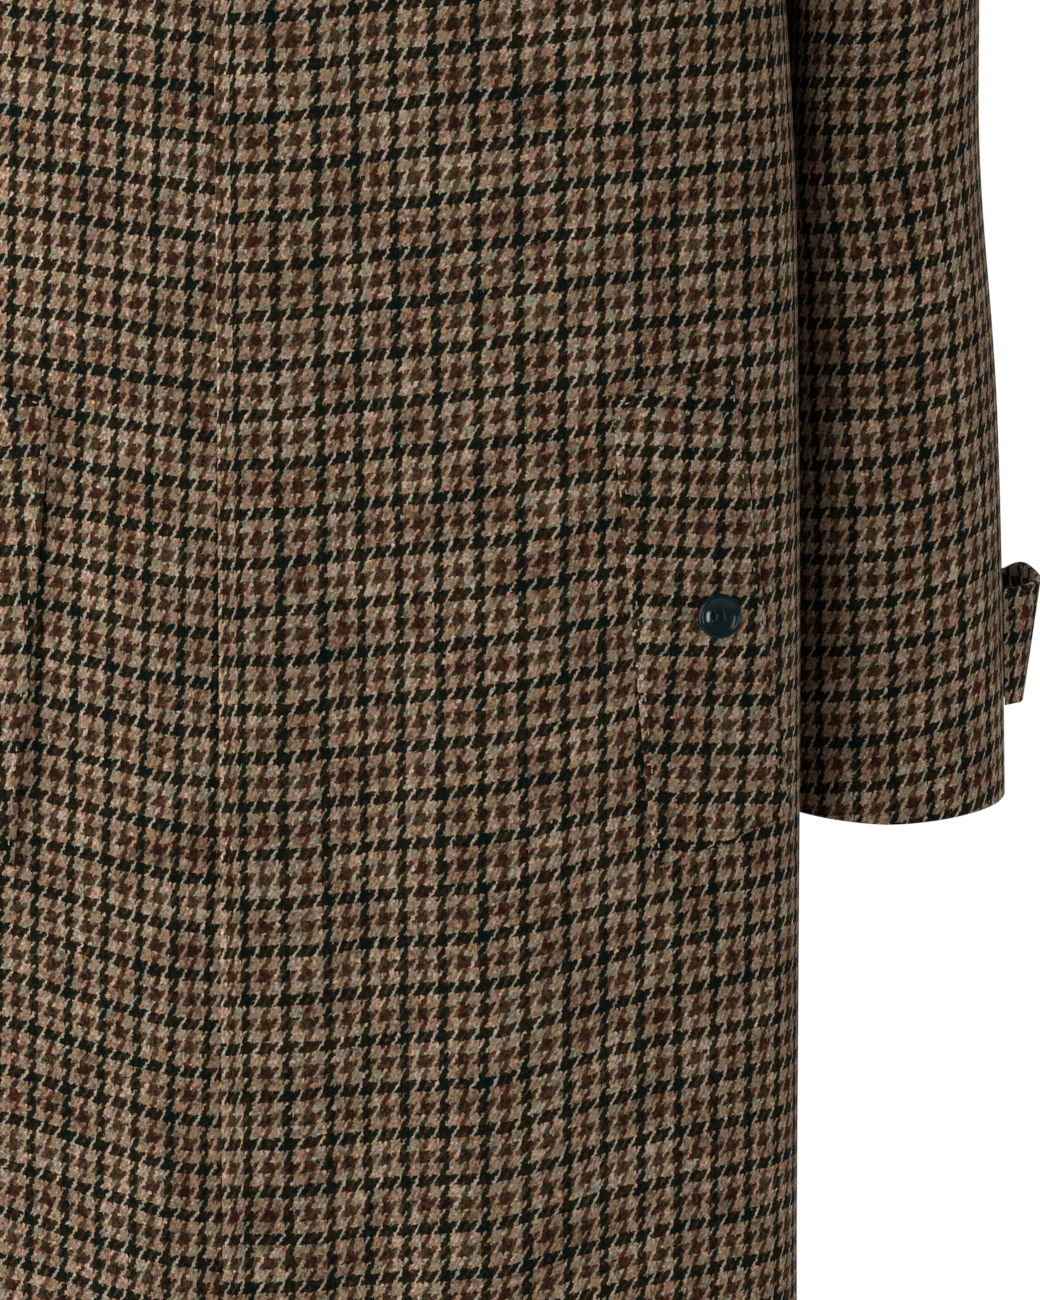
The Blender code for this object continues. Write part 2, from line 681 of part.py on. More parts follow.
def neck_line():
    """The neck edge on the +X side from the centre front to the centre back."""
    fronts = [p for p in right[-1] if p[0] > 0.012]
    first = right[-1, LAP_COLUMNS] + np.array([COLLAR_END_X, 0.0, 0.0])
    front_edge = [first] + fronts
    sleeve_edge = list(sleeve_front[0, :NECK_STEPS][::-1]) + list(sleeve_back[0, 1:NECK_STEPS])
    middle = back.shape[1] // 2
    back_edge = list(back[-1, middle:][::-1])
    return np.array(front_edge + sleeve_edge + back_edge)


def clearance(points):
    """Least distance from some points, or their mirror images, to the panels."""
    least = 1.0
    for point in points:
        for place in (Vector(point), Vector(mirrored(point))):
            for tree in trees:
                least = min(least, tree.find_nearest(place)[3])
    return least


def collar_grids():
    """The two faces of half the collar: stand, roll, and a fall that clears the shoulders."""
    line = neck_line()
    gaps = np.linalg.norm(np.diff(line, axis=0), axis=1)
    shares = np.concatenate([[0.0], np.cumsum(gaps)]) / gaps.sum()
    sizes = read_table(COLLAR, shares)
    heading = np.gradient(line, axis=0)
    outward = unit(np.stack([-heading[:, 1], heading[:, 0], 0 * heading[:, 0]], 1))
    outward *= np.sign(outward[:, :1] * line[:, :1] + outward[:, 1:2] * (line[:, 1:2] + 0.005))
    outward[0] = (0.0, -1.0, 0.0)
    outward[-1] = (0.0, 1.0, 0.0)
    outward = unit(outward)
    line = line - outward * COLLAR_INSET
    along = unit(heading)
    rise = np.array([0.0, 0.0, 1.0])
    leans = []
    for place, out, (stand, fall, _) in zip(line, outward, sizes):
        top = place + rise * (COLLAR_GAP + stand) + out * (2 * COLLAR_ROLL)
        for degrees in range(4, 90, 2):
            lean = math.radians(degrees)
            drop = out * math.sin(lean) - rise * math.cos(lean)
            tests = [top + drop * fall * share for share in (0.4, 0.6, 0.8, 0.9, 1.0)]
            if clearance(tests) > COLLAR_CLEAR + COLLAR_THICK:
                break
        leans.append(lean)
    padded = np.concatenate([[leans[0]] * 2, leans, [leans[-1]] * 2])
    smoothed = [max(padded[i : i + 5].mean(), leans[i]) for i in range(len(leans))]
    faces = ([], [])
    for place, out, ahead, lean, size in zip(line, outward, along, smoothed, sizes):
        stand, fall, spread = size
        spine = []
        for share in (0.0, 0.5, 1.0):
            spine.append((place + rise * (COLLAR_GAP + stand * share), out))
        centre = place + rise * (COLLAR_GAP + stand) + out * COLLAR_ROLL
        for degrees in (45, 90, 135):
            angle = math.radians(degrees)
            face = -out * math.cos(angle) + rise * math.sin(angle)
            spine.append((centre + face * COLLAR_ROLL, -face))
        drop = unit(out * math.sin(lean) - rise * math.cos(lean) + ahead * spread)
        outer_side = unit(out * math.cos(lean) + rise * math.sin(lean))
        top = centre + out * COLLAR_ROLL
        for share in (0.08, 0.35, 0.68, 1.0):
            spine.append((top + drop * fall * share, -outer_side))
        for at, towards in spine:
            faces[0].append(at - towards * COLLAR_THICK / 2)
            faces[1].append(at + towards * COLLAR_THICK / 2)
    shape = (len(line), -1, 3)
    return np.array(faces[0]).reshape(shape), np.array(faces[1]).reshape(shape)


# Collar, drawn for one side and carried on over the back of the neck to the other
collar_outer, collar_inner = collar_grids()
collar_outer = np.concatenate([mirrored(collar_outer[:-1]), collar_outer[::-1]])
collar_inner = np.concatenate([mirrored(collar_inner[:-1]), collar_inner[::-1]])
wall("collar", collar_outer, collar_inner, TWEED)
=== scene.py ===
# %% [markdown]
# # Dressing a tweed coat
# The real coat is a hollow woollen garment: two fronts, a back, raglan sleeves sewn from two
# halves, a collar, slanted pocket welts with a button each, and a stiff strap on each sleeve.
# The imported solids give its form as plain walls. This lesson lays a finer cloth shell over every
# wall, weaves the check from its yarns, adds buttons and stitches, and sets the light.
# Each step first says what the piece is and why it is made the way it is.

import math
from collections import namedtuple

import bmesh
import bpy
import numpy as np
from mathutils import Matrix, Vector


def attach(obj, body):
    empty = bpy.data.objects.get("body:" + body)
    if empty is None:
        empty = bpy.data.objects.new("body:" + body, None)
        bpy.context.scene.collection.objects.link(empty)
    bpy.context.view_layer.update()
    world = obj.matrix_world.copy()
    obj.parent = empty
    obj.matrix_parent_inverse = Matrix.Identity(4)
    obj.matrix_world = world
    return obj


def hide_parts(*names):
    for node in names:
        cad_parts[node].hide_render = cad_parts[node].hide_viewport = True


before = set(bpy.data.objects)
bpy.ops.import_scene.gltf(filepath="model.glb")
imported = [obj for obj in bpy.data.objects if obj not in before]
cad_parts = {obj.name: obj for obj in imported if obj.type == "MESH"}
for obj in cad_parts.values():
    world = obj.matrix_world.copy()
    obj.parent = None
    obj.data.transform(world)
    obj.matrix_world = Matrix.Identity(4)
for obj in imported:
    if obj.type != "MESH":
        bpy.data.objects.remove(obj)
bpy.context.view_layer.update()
print("solids loaded:", len(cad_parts))

# %% [markdown]
# ## Reading short tables
# A tailor notes a few measures at a few heights and lets the cloth run smoothly between them.
# The same is done here: a table has one row for each height, and a cubic curve through the rows
# gives the value anywhere between. A subdivision modifier could smooth a coarse mesh too, but then
# the seams of neighbouring panels would drift apart.

# %% Curves through table rows
def rows_of(columns, *rows):
    """Table rows whose columns have names."""
    kind = namedtuple("Row", columns)
    return tuple(kind(*row) for row in rows)


def smooth(low, high, value):
    """0 below low, 1 above high, an even S between."""
    share = np.clip((value - low) / (high - low), 0.0, 1.0)
    return share * share * (3.0 - 2.0 * share)


def unit(vectors):
    """Vectors brought to length 1."""
    length = np.linalg.norm(vectors, axis=-1, keepdims=True)
    return vectors / np.maximum(length, 1e-12)


def read_rows(places, values, at):
    """Values of a table read at other places, on a smooth curve through its rows."""
    slopes = np.gradient(values, places, axis=0)
    row = np.clip(np.searchsorted(places, at) - 1, 0, len(places) - 2)
    step = (places[row + 1] - places[row])[:, None]
    share = ((at - places[row]) / step[:, 0])[:, None]
    start = (1 + 2 * share) * (1 - share) ** 2
    leave = share * (1 - share) ** 2
    finish = share**2 * (3 - 2 * share)
    arrive = share**2 * (share - 1)
    ends = start * values[row] + finish * values[row + 1]
    return ends + step * (leave * slopes[row] + arrive * slopes[row + 1])


def read_table(table, at):
    """The columns of a table after its first, read at places along the first."""
    numbers = np.array(table, float)
    numbers = numbers[np.argsort(numbers[:, 0])]
    return read_rows(numbers[:, 0], numbers[:, 1:], np.asarray(at, float))


print("half way up a step of 0 to 1:", smooth(0.0, 1.0, 0.5))

# %% [markdown]
# ## The body's measures
# The coat hangs nearly straight from the underarm to the hem. Its front is flat and turns sharply
# at the side, its back is rounder. Above the underarm the raglan seams run from the underarm to
# the neck, and the section's shape softens row by row towards the neck.

# %% Body and raglan tables
CLOTH = 0.0025
SEAM_GAP = 0.00005

BODY = rows_of(
    "z side_x side_y front_y back_y",
    (-1.075, 0.216, -0.030, -0.128, 0.150),
    (-0.950, 0.214, -0.035, -0.124, 0.145),
    (-0.800, 0.2137, -0.040, -0.120, 0.140),
    (-0.660, 0.2135, -0.040, -0.118, 0.137),
    (-0.530, 0.2120, -0.036, -0.117, 0.132),
    (-0.420, 0.2095, -0.030, -0.118, 0.130),
    (-0.340, 0.2045, -0.015, -0.120, 0.130),
    (-0.285, 0.199, 0.000, -0.122, 0.130),
)
SQUARENESS = {"front": 5.0, "back": 2.25}
TURN_SHARE = 0.7
SEAM_TRIM = 0.12

RAGLAN_COLUMNS = "t seam_x seam_y seam_z centre_y centre_z power rounding"
RAGLAN = {
    "front": rows_of(
        RAGLAN_COLUMNS,
        (0.00, 0.199, 0.000, -0.285, -0.122, -0.285, 5.0, 5.0),
        (0.15, 0.186, -0.062, -0.240, -0.122, -0.250, 4.2, 2.6),
        (0.35, 0.158, -0.092, -0.180, -0.120, -0.205, 3.2, 1.5),
        (0.60, 0.125, -0.091, -0.115, -0.110, -0.155, 2.6, 1.1),
        (0.80, 0.100, -0.072, -0.064, -0.095, -0.116, 2.2, 1.0),
        (1.00, 0.071, -0.042, -0.018, -0.076, -0.078, 2.0, 1.2),
    ),
    "back": rows_of(
        RAGLAN_COLUMNS,
        (0.00, 0.199, 0.000, -0.285, 0.130, -0.285, 2.25, 2.25),
        (0.15, 0.192, 0.055, -0.240, 0.136, -0.235, 2.4, 1.9),
        (0.35, 0.168, 0.095, -0.180, 0.140, -0.170, 2.4, 1.4),
        (0.60, 0.135, 0.108, -0.110, 0.132, -0.100, 2.3, 1.1),
        (0.80, 0.107, 0.094, -0.055, 0.108, -0.054, 2.2, 1.0),
        (1.00, 0.068, 0.045, -0.006, 0.068, -0.014, 2.0, 1.2),
    ),
}
print("coat length from the neck point:", round(-BODY[0].z * 1000), "mm")

# %% [markdown]
# ## From measures to a panel's face
# Half a section runs from the centre line to the seam on a squared-off oval. Its points are spread
# by length and by turning, so that the sharp turn at the side gets more of them. Rows about 5 mm
# apart are fine enough for every fold; the threads themselves come later, in the cloth's finish.

# %% Half sections of the body
BODY_ROWS = 154
RAGLAN_STEPS = 56
SECTION_POINTS = 400
NECK_DIP_POWER = 1.6
LEAST_TURN = 0.5
TRIM_REACH = 0.3
SIDES = {"left": np.ones(3), "right": np.array([-1.0, 1.0, 1.0])}


def along_line(at, places, points):
    """Points of a line read at other places along it."""
    return np.stack([np.interp(at, places, points[:, axis]) for axis in range(3)], -1)


def half_section(centre, seam, shape, shares):
    """Points from a centre line to a seam; shape is power, rounding and the share used."""
    power, rounding, used = shape
    u = np.sin(np.linspace(0.0, math.pi / 2, SECTION_POINTS))
    reach = (1.0 - (used * u) ** power).clip(0.0) ** (1.0 / rounding)
    reach = (reach - reach[-1]) / (1.0 - reach[-1])
    x = seam[0] * u
    y = seam[1] + (centre[1] - seam[1]) * reach
    z = centre[2] + (seam[2] - centre[2]) * u**NECK_DIP_POWER
    dense = np.stack([x, y, z], 1)
    steps = np.diff(dense, axis=0)
    lengths = np.linalg.norm(steps, axis=1)
    heading = np.unwrap(np.arctan2(steps[:, 1], steps[:, 0]))
    turning = np.abs(np.diff(heading, prepend=heading[0]))
    weight = lengths / lengths.sum() + TURN_SHARE * turning / max(turning.sum(), LEAST_TURN)
    place = np.concatenate([[0.0], np.cumsum(weight)])
    return along_line(shares, place / place[-1], dense)


def body_half(face, shares):
    """Half of the front or the back, rows from hem to neck, columns from centre to seam."""
    rows = []
    levels = np.linspace(BODY[0].z, BODY[-1].z, BODY_ROWS + 1)
    for z, (side_x, side_y, front_y, back_y) in zip(levels, read_table(BODY, levels)):
        centre_y = front_y if face == "front" else back_y
        shape = (SQUARENESS[face], SQUARENESS[face], 1.0)
        rows.append(half_section((0, centre_y, z), (side_x, side_y, z), shape, shares))
    steps = np.linspace(0.0, 1.0, RAGLAN_STEPS + 1)[1:]
    for step, values in zip(steps, read_table(RAGLAN[face], steps)):
        seam_x, seam_y, seam_z, centre_y, centre_z, power, rounding = values
        shape = (power, rounding, 1.0 - SEAM_TRIM * smooth(0.0, TRIM_REACH, step))
        rows.append(half_section((0, centre_y, centre_z), (seam_x, seam_y, seam_z), shape, shares))
    return np.array(rows)


def mirrored(points):
    """Points on the other side of the coat."""
    return points * SIDES["right"]


def face_normals(points):
    """Directions square to a grid of points, from its rows and columns."""
    return unit(np.cross(np.gradient(points, axis=1), np.gradient(points, axis=0)))


print("rows from hem to neck:", BODY_ROWS + RAGLAN_STEPS + 1)

# %% [markdown]
# ## Folds and creases
# Heavy wool falls in long soft folds below the waist and keeps shallow drag lines near the arm.
# They could be simulated, but a simulation moves the seams. Here each fold and crease is a row of
# a table, uneven in length, depth and spacing: a soft ridge where depth is above zero and a soft
# trough where it is below.

# %% Fold and crease tables of the body
FOLD_COLUMNS = "x half_width height top_z full_z"
FRONT_FOLDS = rows_of(
    FOLD_COLUMNS,
    (-0.072, 0.050, 0.0030, -0.300, -0.900),
    (0.018, 0.042, -0.0028, -0.350, -0.850),
    (0.074, 0.046, 0.0030, -0.420, -0.950),
    (0.122, 0.036, -0.0026, -0.600, -1.000),
    (-0.140, 0.040, -0.0024, -0.550, -1.000),
)
BACK_FOLDS = rows_of(
    FOLD_COLUMNS,
    (-0.118, 0.052, 0.0070, -0.420, -1.050),
    (-0.030, 0.044, -0.0050, -0.380, -0.980),
    (0.052, 0.058, 0.0065, -0.460, -1.060),
    (0.138, 0.042, -0.0045, -0.520, -1.020),
)

# lean is how far a crease moves sideways for each metre that it falls
CREASE_COLUMNS = "x z half_length half_width lean depth"
LEFT_CREASES = rows_of(
    CREASE_COLUMNS,
    (-0.036, -0.560, 0.200, 0.016, 0.02, 0.0008),
    (0.010, -0.640, 0.150, 0.021, -0.03, -0.0010),
    (0.046, -0.860, 0.130, 0.018, 0.05, 0.0011),
    (0.086, -0.500, 0.110, 0.023, -0.08, -0.0012),
    (0.102, -0.960, 0.090, 0.016, 0.06, -0.0010),
    (0.152, -0.390, 0.080, 0.020, -0.55, 0.0016),
    (0.118, -0.350, 0.062, 0.015, -0.70, -0.0014),
    (0.176, -0.850, 0.080, 0.014, 0.04, 0.0009),
    (0.070, -0.285, 0.075, 0.022, -0.30, 0.0011),
    (0.020, -0.330, 0.090, 0.017, 0.12, -0.0008),
)
RIGHT_CREASES = rows_of(
    CREASE_COLUMNS,
    (0.034, -0.700, 0.170, 0.019, -0.02, -0.0008),
    (0.078, -0.520, 0.140, 0.022, 0.04, 0.0011),
    (0.106, -0.830, 0.120, 0.017, 0.07, -0.0012),
    (0.060, -0.960, 0.090, 0.020, -0.05, 0.0010),
    (0.146, -0.380, 0.076, 0.018, -0.60, -0.0016),
    (0.124, -0.440, 0.060, 0.016, -0.40, 0.0012),
    (0.178, -0.900, 0.085, 0.013, 0.05, -0.0008),
    (0.062, -0.300, 0.070, 0.020, -0.35, 0.0012),
)
BACK_CREASES = rows_of(
    CREASE_COLUMNS,
    (-0.150, -0.360, 0.085, 0.021, 0.60, -0.0020),
    (-0.112, -0.410, 0.070, 0.018, 0.75, 0.0016),
    (0.142, -0.345, 0.090, 0.020, -0.65, 0.0019),
    (0.104, -0.430, 0.065, 0.017, -0.55, -0.0017),
    (-0.060, -0.250, 0.080, 0.030, 0.25, 0.0014),
    (0.035, -0.290, 0.110, 0.026, -0.10, -0.0013),
    (-0.008, -0.640, 0.160, 0.020, 0.03, 0.0012),
    (0.092, -0.760, 0.120, 0.019, -0.05, -0.0013),
    (-0.168, -0.700, 0.150, 0.022, 0.06, -0.0014),
    (0.176, -0.880, 0.100, 0.018, 0.02, 0.0012),
)
print("long folds:", len(FRONT_FOLDS + BACK_FOLDS))
print("body creases:", len(LEFT_CREASES + RIGHT_CREASES + BACK_CREASES))

# %% [markdown]
# A fold or crease moves the cloth along the direction it faces and leaves its edges alone. So each
# row of a table becomes one smooth bump, and the bumps of all rows are added up before the face is
# moved once. A long fold fades in from its top; a short crease fades at both ends.

# %% Pushing a face in and out
def fold_push(folds, x, z):
    """How far long folds push a point of the body in or out."""
    push = np.zeros_like(x)
    for fold in folds:
        across = np.clip((x - fold.x) / fold.half_width, -1.0, 1.0)
        fade = smooth(-fold.top_z, -fold.full_z, -z)
        push += fold.height * np.cos(across * math.pi / 2) ** 2 * fade
    return push


def crease_push(creases, x, z):
    """How far short creases push a point of the body in or out."""
    push = np.zeros_like(x)
    for crease in creases:
        down = crease.z - z
        across = (x - crease.x - crease.lean * down) / crease.half_width
        push += crease.depth * np.exp(-(across**2)) * np.exp(-((down / crease.half_length) ** 2))
    return push


middle = fold_push(FRONT_FOLDS, np.array([0.018]), np.array([-1.0]))
print("trough beside the centre front:", round(float(middle[0]) * 1000, 2), "mm")

# %% [markdown]
# ## The two fronts
# The left front laps over the right one and hides the fastening under a plain fly, so no button
# shows down the centre. Both are drawn on the wearer's left; the right one is then mirrored. The
# lap lifts the left front by its own thickness and a little more, and settles towards the side.

# %% Faces of the fronts
LAP_LIFT = 0.0042
LAP_HALF = 0.0515
LAP_HALF_AT_NECK = 0.036
LAP_SETTLE_FROM = 1.4
LAP_SETTLE_TO = 0.95
EDGE_ROLL = 0.0013
EDGE_ROLL_WIDTH = 0.0090
LAP_COLUMNS = 24
LAP_TAPER_Z = -0.26
FINE_COLUMNS = 81
FRONT_COLUMNS = 52
FRONT_CREASE_END = 0.9


def front_face(lap_lift, creases):
    """Outer face of a front drawn on the +X side, from past the centre line to the seam."""
    spread = np.linspace(0.0, 1.0, FINE_COLUMNS)
    fine = body_half("front", spread)
    heights = fine[:, 0, 2]
    lap_x = LAP_HALF + (LAP_HALF_AT_NECK - LAP_HALF) * smooth(LAP_TAPER_Z, heights[-1], heights)
    edge = np.array([np.interp(x, row[:, 0], spread) for x, row in zip(lap_x, fine)])
    columns = []
    for step in range(LAP_COLUMNS, 0, -1):
        at = edge * step / LAP_COLUMNS
        line = np.array([along_line(a, spread, row) for a, row in zip(at, fine)])
        columns.append(mirrored(line))
    half = body_half("front", np.linspace(0.0, 1.0, FRONT_COLUMNS + 1))
    points = np.concatenate([np.stack(columns, 1), half], 1)
    x, z = points[:, :, 0], points[:, :, 2]
    seam_x = points[:, -1:, 0]
    hand = 1.0 if lap_lift else -1.0
    push = fold_push(FRONT_FOLDS, hand * x, z)
    push += crease_push(creases, x, z) * (1.0 - smooth(FRONT_CREASE_END, 1.0, x / seam_x))
    push += lap_lift * (1.0 - smooth(LAP_SETTLE_FROM * lap_x[:, None], LAP_SETTLE_TO * seam_x, x))
    if lap_lift:
        from_edge = np.clip((x - points[:, :1, 0]) / EDGE_ROLL_WIDTH, 0.0, 1.0)
        push -= EDGE_ROLL * (1.0 - from_edge) ** 2
    return points + face_normals(points) * push[..., None]


left = front_face(LAP_LIFT, LEFT_CREASES)
right = front_face(0.0, RIGHT_CREASES)
print("front panel grid:", left.shape[0], "rows by", left.shape[1], "columns")

# %% [markdown]
# ## The back
# The back is one plain panel, broader and rounder than the fronts, so it carries deeper folds. It is
# drawn as one half and its mirror image; only the folds and creases differ from side to side.

# %% Face of the back
BACK_COLUMNS = 48
BACK_CREASE_END = 0.88


def back_face():
    """Outer face of the back, from the wearer's right to the wearer's left."""
    half = body_half("back", np.linspace(0.0, 1.0, BACK_COLUMNS + 1))
    points = np.concatenate([mirrored(half[:, :0:-1]), half], 1)
    x, z = points[:, :, 0], points[:, :, 2]
    share = np.abs(x) / points[:, -1:, 0]
    push = fold_push(BACK_FOLDS, x, z)
    push += crease_push(BACK_CREASES, x, z) * (1.0 - smooth(BACK_CREASE_END, 1.0, share))
    return points - face_normals(points) * push[..., None]


back = back_face()
print("back panel grid:", back.shape[0], "rows by", back.shape[1], "columns")

# %% [markdown]
# ## The sleeves
# A raglan sleeve reaches up to the neck, so its top edge follows the neck and then the raglan seam
# of the panel beside it. From there it rounds over the shoulder into rings that hang down to the
# cuff. Front and back halves meet in an overarm and an underarm seam.

# %% Sleeve tables
NECK_POINT = (0.078, 0.000, 0.002)
ARM = rows_of(
    "z centre_x centre_y half_width half_depth tilt",
    (-0.300, 0.2495, 0.010, 0.0465, 0.080, 0.000),
    (-0.350, 0.2520, 0.024, 0.0460, 0.076, 0.001),
    (-0.420, 0.2520, 0.040, 0.0480, 0.071, 0.002),
    (-0.550, 0.2570, 0.055, 0.0540, 0.065, 0.003),
    (-0.660, 0.2580, 0.060, 0.0575, 0.060, 0.005),
    (-0.7425, 0.2590, 0.060, 0.0585, 0.056, 0.006),
)
ARM_SQUARENESS = 2.3
SHOULDER_SLOPE = (0.935, 0.0, -0.355)
SHOULDER_FULLNESS = 1.05
ARM_FULLNESS = 1.15
NECK_STEPS = 8
SHOULDER_RINGS = 42
ARM_RINGS = 72

# around runs from 0 at the overarm seam to 1 at the underarm seam
ARM_CREASE_COLUMNS = "z around half_height half_around slope depth"
ARM_CREASES = {
    "front": rows_of(
        ARM_CREASE_COLUMNS,
        (-0.395, 0.70, 0.022, 0.34, 0.030, -0.0035),
        (-0.470, 0.62, 0.026, 0.38, 0.045, 0.0030),
        (-0.535, 0.74, 0.022, 0.30, 0.020, -0.0030),
        (-0.432, 0.42, 0.012, 0.16, -0.060, -0.0010),
        (-0.585, 0.50, 0.015, 0.20, 0.090, 0.0009),
        (-0.690, 0.36, 0.018, 0.15, -0.050, -0.0008),
        (-0.340, 0.55, 0.014, 0.18, 0.110, 0.0014),
        (-0.230, 0.78, 0.016, 0.16, 0.160, -0.0016),
    ),
    "back": rows_of(
        ARM_CREASE_COLUMNS,
        (-0.410, 0.66, 0.024, 0.36, -0.030, 0.0030),
        (-0.490, 0.56, 0.026, 0.40, -0.040, -0.0035),
        (-0.448, 0.34, 0.013, 0.17, 0.070, -0.0012),
        (-0.560, 0.62, 0.016, 0.22, -0.080, 0.0012),
        (-0.350, 0.48, 0.015, 0.20, -0.100, 0.0015),
        (-0.240, 0.74, 0.017, 0.18, -0.150, -0.0018),
        (-0.705, 0.52, 0.014, 0.18, 0.060, -0.0009),
    ),
}
print("sleeve creases:", sum(len(rows) for rows in ARM_CREASES.values()))

# %% [markdown]
# Every line of the sleeve starts on the neck or the raglan seam and ends on the first ring of the
# arm. It leaves the seam in the direction of the panel beside it, so that cloth runs on smoothly
# over the seam, and arrives in the direction of the arm. A cubic curve with these two ends does both.

# %% Rings of a sleeve half
NECK_BEND = (0.004, 0.62, 0.35)
TILT_POWER = 1.5
UNDERARM_SLOPE = (0.80, 0.0, -0.60)
UNDERARM_FROM = 0.80
SHOULDER_END = 0.35
ARRIVAL_RING = 8


def running_length(points):
    """Length along a line of points, from 0 at the first of them."""
    steps = np.linalg.norm(np.diff(points, axis=0), axis=1)
    return np.concatenate([[0.0], np.cumsum(steps)])


def sleeve_top(face):
    """The sleeve's top edge: from the neck point along the neck, then down the raglan seam."""
    seam = read_table(RAGLAN[face], np.linspace(1.0, 0.0, RAGLAN_STEPS + 1))[:, :3]
    neck = np.array(NECK_POINT)
    out, deep, low = NECK_BEND
    bend = np.array([0.5 * (neck[0] + seam[0, 0]) + out, deep * seam[0, 1], low * seam[0, 2]])
    shares = np.arange(NECK_STEPS) / NECK_STEPS
    edge = [(1 - s) ** 2 * neck + 2 * s * (1 - s) * bend + s**2 * seam[0] for s in shares]
    return np.concatenate([np.array(edge), seam])


def around_shares(face):
    """How far round the sleeve each point of its top edge lies, from 0 to 1."""
    length = running_length(sleeve_top(face))
    return length / length[-1]


def arm_ring(face, row, shares):
    """Half a sleeve ring from the overarm to the underarm."""
    z, centre_x, centre_y, half_width, half_depth, tilt = row
    angle = shares * math.pi
    side = -1.0 if face == "front" else 1.0
    power = 2.0 / ARM_SQUARENESS
    across = np.sign(np.cos(angle)) * np.abs(np.cos(angle)) ** power
    deep = np.abs(np.sin(angle)) ** power
    x = centre_x + half_width * across
    y = centre_y + side * half_depth * deep
    return np.stack([x, y, z + tilt * np.abs(across) ** TILT_POWER], 1)


def leaving_directions(panel_seam):
    """How each line of the sleeve leaves the neck edge and the raglan seam."""
    slope = np.array(SHOULDER_SLOPE)
    seam = panel_seam[::-1]
    away = np.linspace(0.0, 1.0, len(seam))[:, None]
    low = smooth(UNDERARM_FROM, 1.0, away)
    bent = unit(seam * (1 - low) + np.array(UNDERARM_SLOPE) * low)
    share = smooth(0.0, SHOULDER_END, away)
    mixed = unit(slope * (1 - share) + bent * share)
    return np.concatenate([np.repeat(slope[None], NECK_STEPS, 0), mixed])


def sleeve_rings(face, leaving):
    """Rings of half a sleeve from the raglan seam to the cuff, before creases."""
    start = sleeve_top(face)
    shares = around_shares(face)
    levels = np.linspace(ARM[0].z, ARM[-1].z, ARM_RINGS + 1)
    arm = [arm_ring(face, (z, *row), shares) for z, row in zip(levels, read_table(ARM, levels))]
    finish = arm[0]
    reach = np.linalg.norm(finish - start, axis=1, keepdims=True)
    arriving = unit(arm[ARRIVAL_RING] - arm[0])
    rings = []
    for s in np.linspace(0.0, 1.0, SHOULDER_RINGS + 1)[:-1]:
        ends = (1 + 2 * s) * (1 - s) ** 2 * start + s**2 * (3 - 2 * s) * finish
        away = s * (1 - s) ** 2 * reach * SHOULDER_FULLNESS * leaving
        home = s**2 * (s - 1) * reach * ARM_FULLNESS * arriving
        rings.append(ends + away + home)
    return np.array(rings + arm), shares


print("points round half a sleeve:", len(sleeve_top("front")))

# %% [markdown]
# A worn sleeve keeps creases in the crook of the elbow and soft drag lines below the shoulder. They
# run round the arm rather than along it, so each is placed by its height and by how far round it lies.

# %% Faces of the sleeve halves
SEAM_STRIDE = 9


def sleeve_face(face, panel):
    """Outer face of half a sleeve on the +X side with its creases."""
    seam = unit(panel[BODY_ROWS:, -1] - panel[BODY_ROWS:, -SEAM_STRIDE])
    rings, shares = sleeve_rings(face, leaving_directions(seam))
    out = face_normals(rings) * (1.0 if face == "front" else -1.0)
    around = np.broadcast_to(shares, rings.shape[:2])
    push = np.zeros_like(around)
    for crease in ARM_CREASES[face]:
        offset = around - crease.around
        level = (rings[:, :, 2] - crease.z - crease.slope * offset) / crease.half_height
        push = push + crease.depth * np.exp(-(level**2) - (offset / crease.half_around) ** 2)
    push = push * np.sin(around * math.pi) ** 0.5
    return rings + out * push[..., None]


sleeve_front = sleeve_face("front", left)
sleeve_back = sleeve_face("back", back)
print("sleeve half grid:", sleeve_front.shape[0], "rings by", sleeve_front.shape[1], "points")

# %% [markdown]
# ## Walls that meet at the seams
# Two panels that are sewn together turn inwards in the same direction along their seam. So the
# normals of both sides are averaged there before the cloth gets its thickness. Where four pieces meet
# under the arm, one direction is set for all of them.

# %% Shared seam directions
UNDERARM_OUT = (0.75, 0.0, -0.66)
left_out = face_normals(left)
right_out = face_normals(right)
back_out = -face_normals(back)
sleeve_front_out = face_normals(sleeve_front)
sleeve_back_out = -face_normals(sleeve_back)

side = unit(left_out[: BODY_ROWS + 1, -1] + back_out[: BODY_ROWS + 1, -1])
for normals in (left_out, right_out, back_out):
    normals[: BODY_ROWS + 1, -1] = side
over = unit(sleeve_front_out[:, 0] + sleeve_back_out[:, 0])
under = unit(sleeve_front_out[:, -1] + sleeve_back_out[:, -1])
for normals in (sleeve_front_out, sleeve_back_out):
    normals[:, 0] = over
    normals[:, -1] = under
for panel, sleeve in ((left_out, sleeve_front_out), (back_out, sleeve_back_out)):
    joined = unit(panel[BODY_ROWS:, -1] + sleeve[0, NECK_STEPS:][::-1])
    panel[BODY_ROWS:, -1] = joined
    sleeve[0, NECK_STEPS:] = joined[::-1]
corner = unit(np.array(UNDERARM_OUT))
for normals, place in (
    (left_out, (BODY_ROWS, -1)),
    (back_out, (BODY_ROWS, -1)),
    (sleeve_front_out, (0, -1)),
    (sleeve_back_out, (0, -1)),
):
    normals[place] = corner
right_out[BODY_ROWS:, -1] = left_out[BODY_ROWS:, -1]
back_out[:, 0] = mirrored(back_out[:, -1])
print("seams shared: side, overarm, underarm and both raglan seams")

# %% [markdown]
# Sewn pieces touch, but two walls in the same place would flicker. Each edge is drawn back by half of
# a hairline gap, square to the edge: enough to keep the pieces apart, too little for light to show.

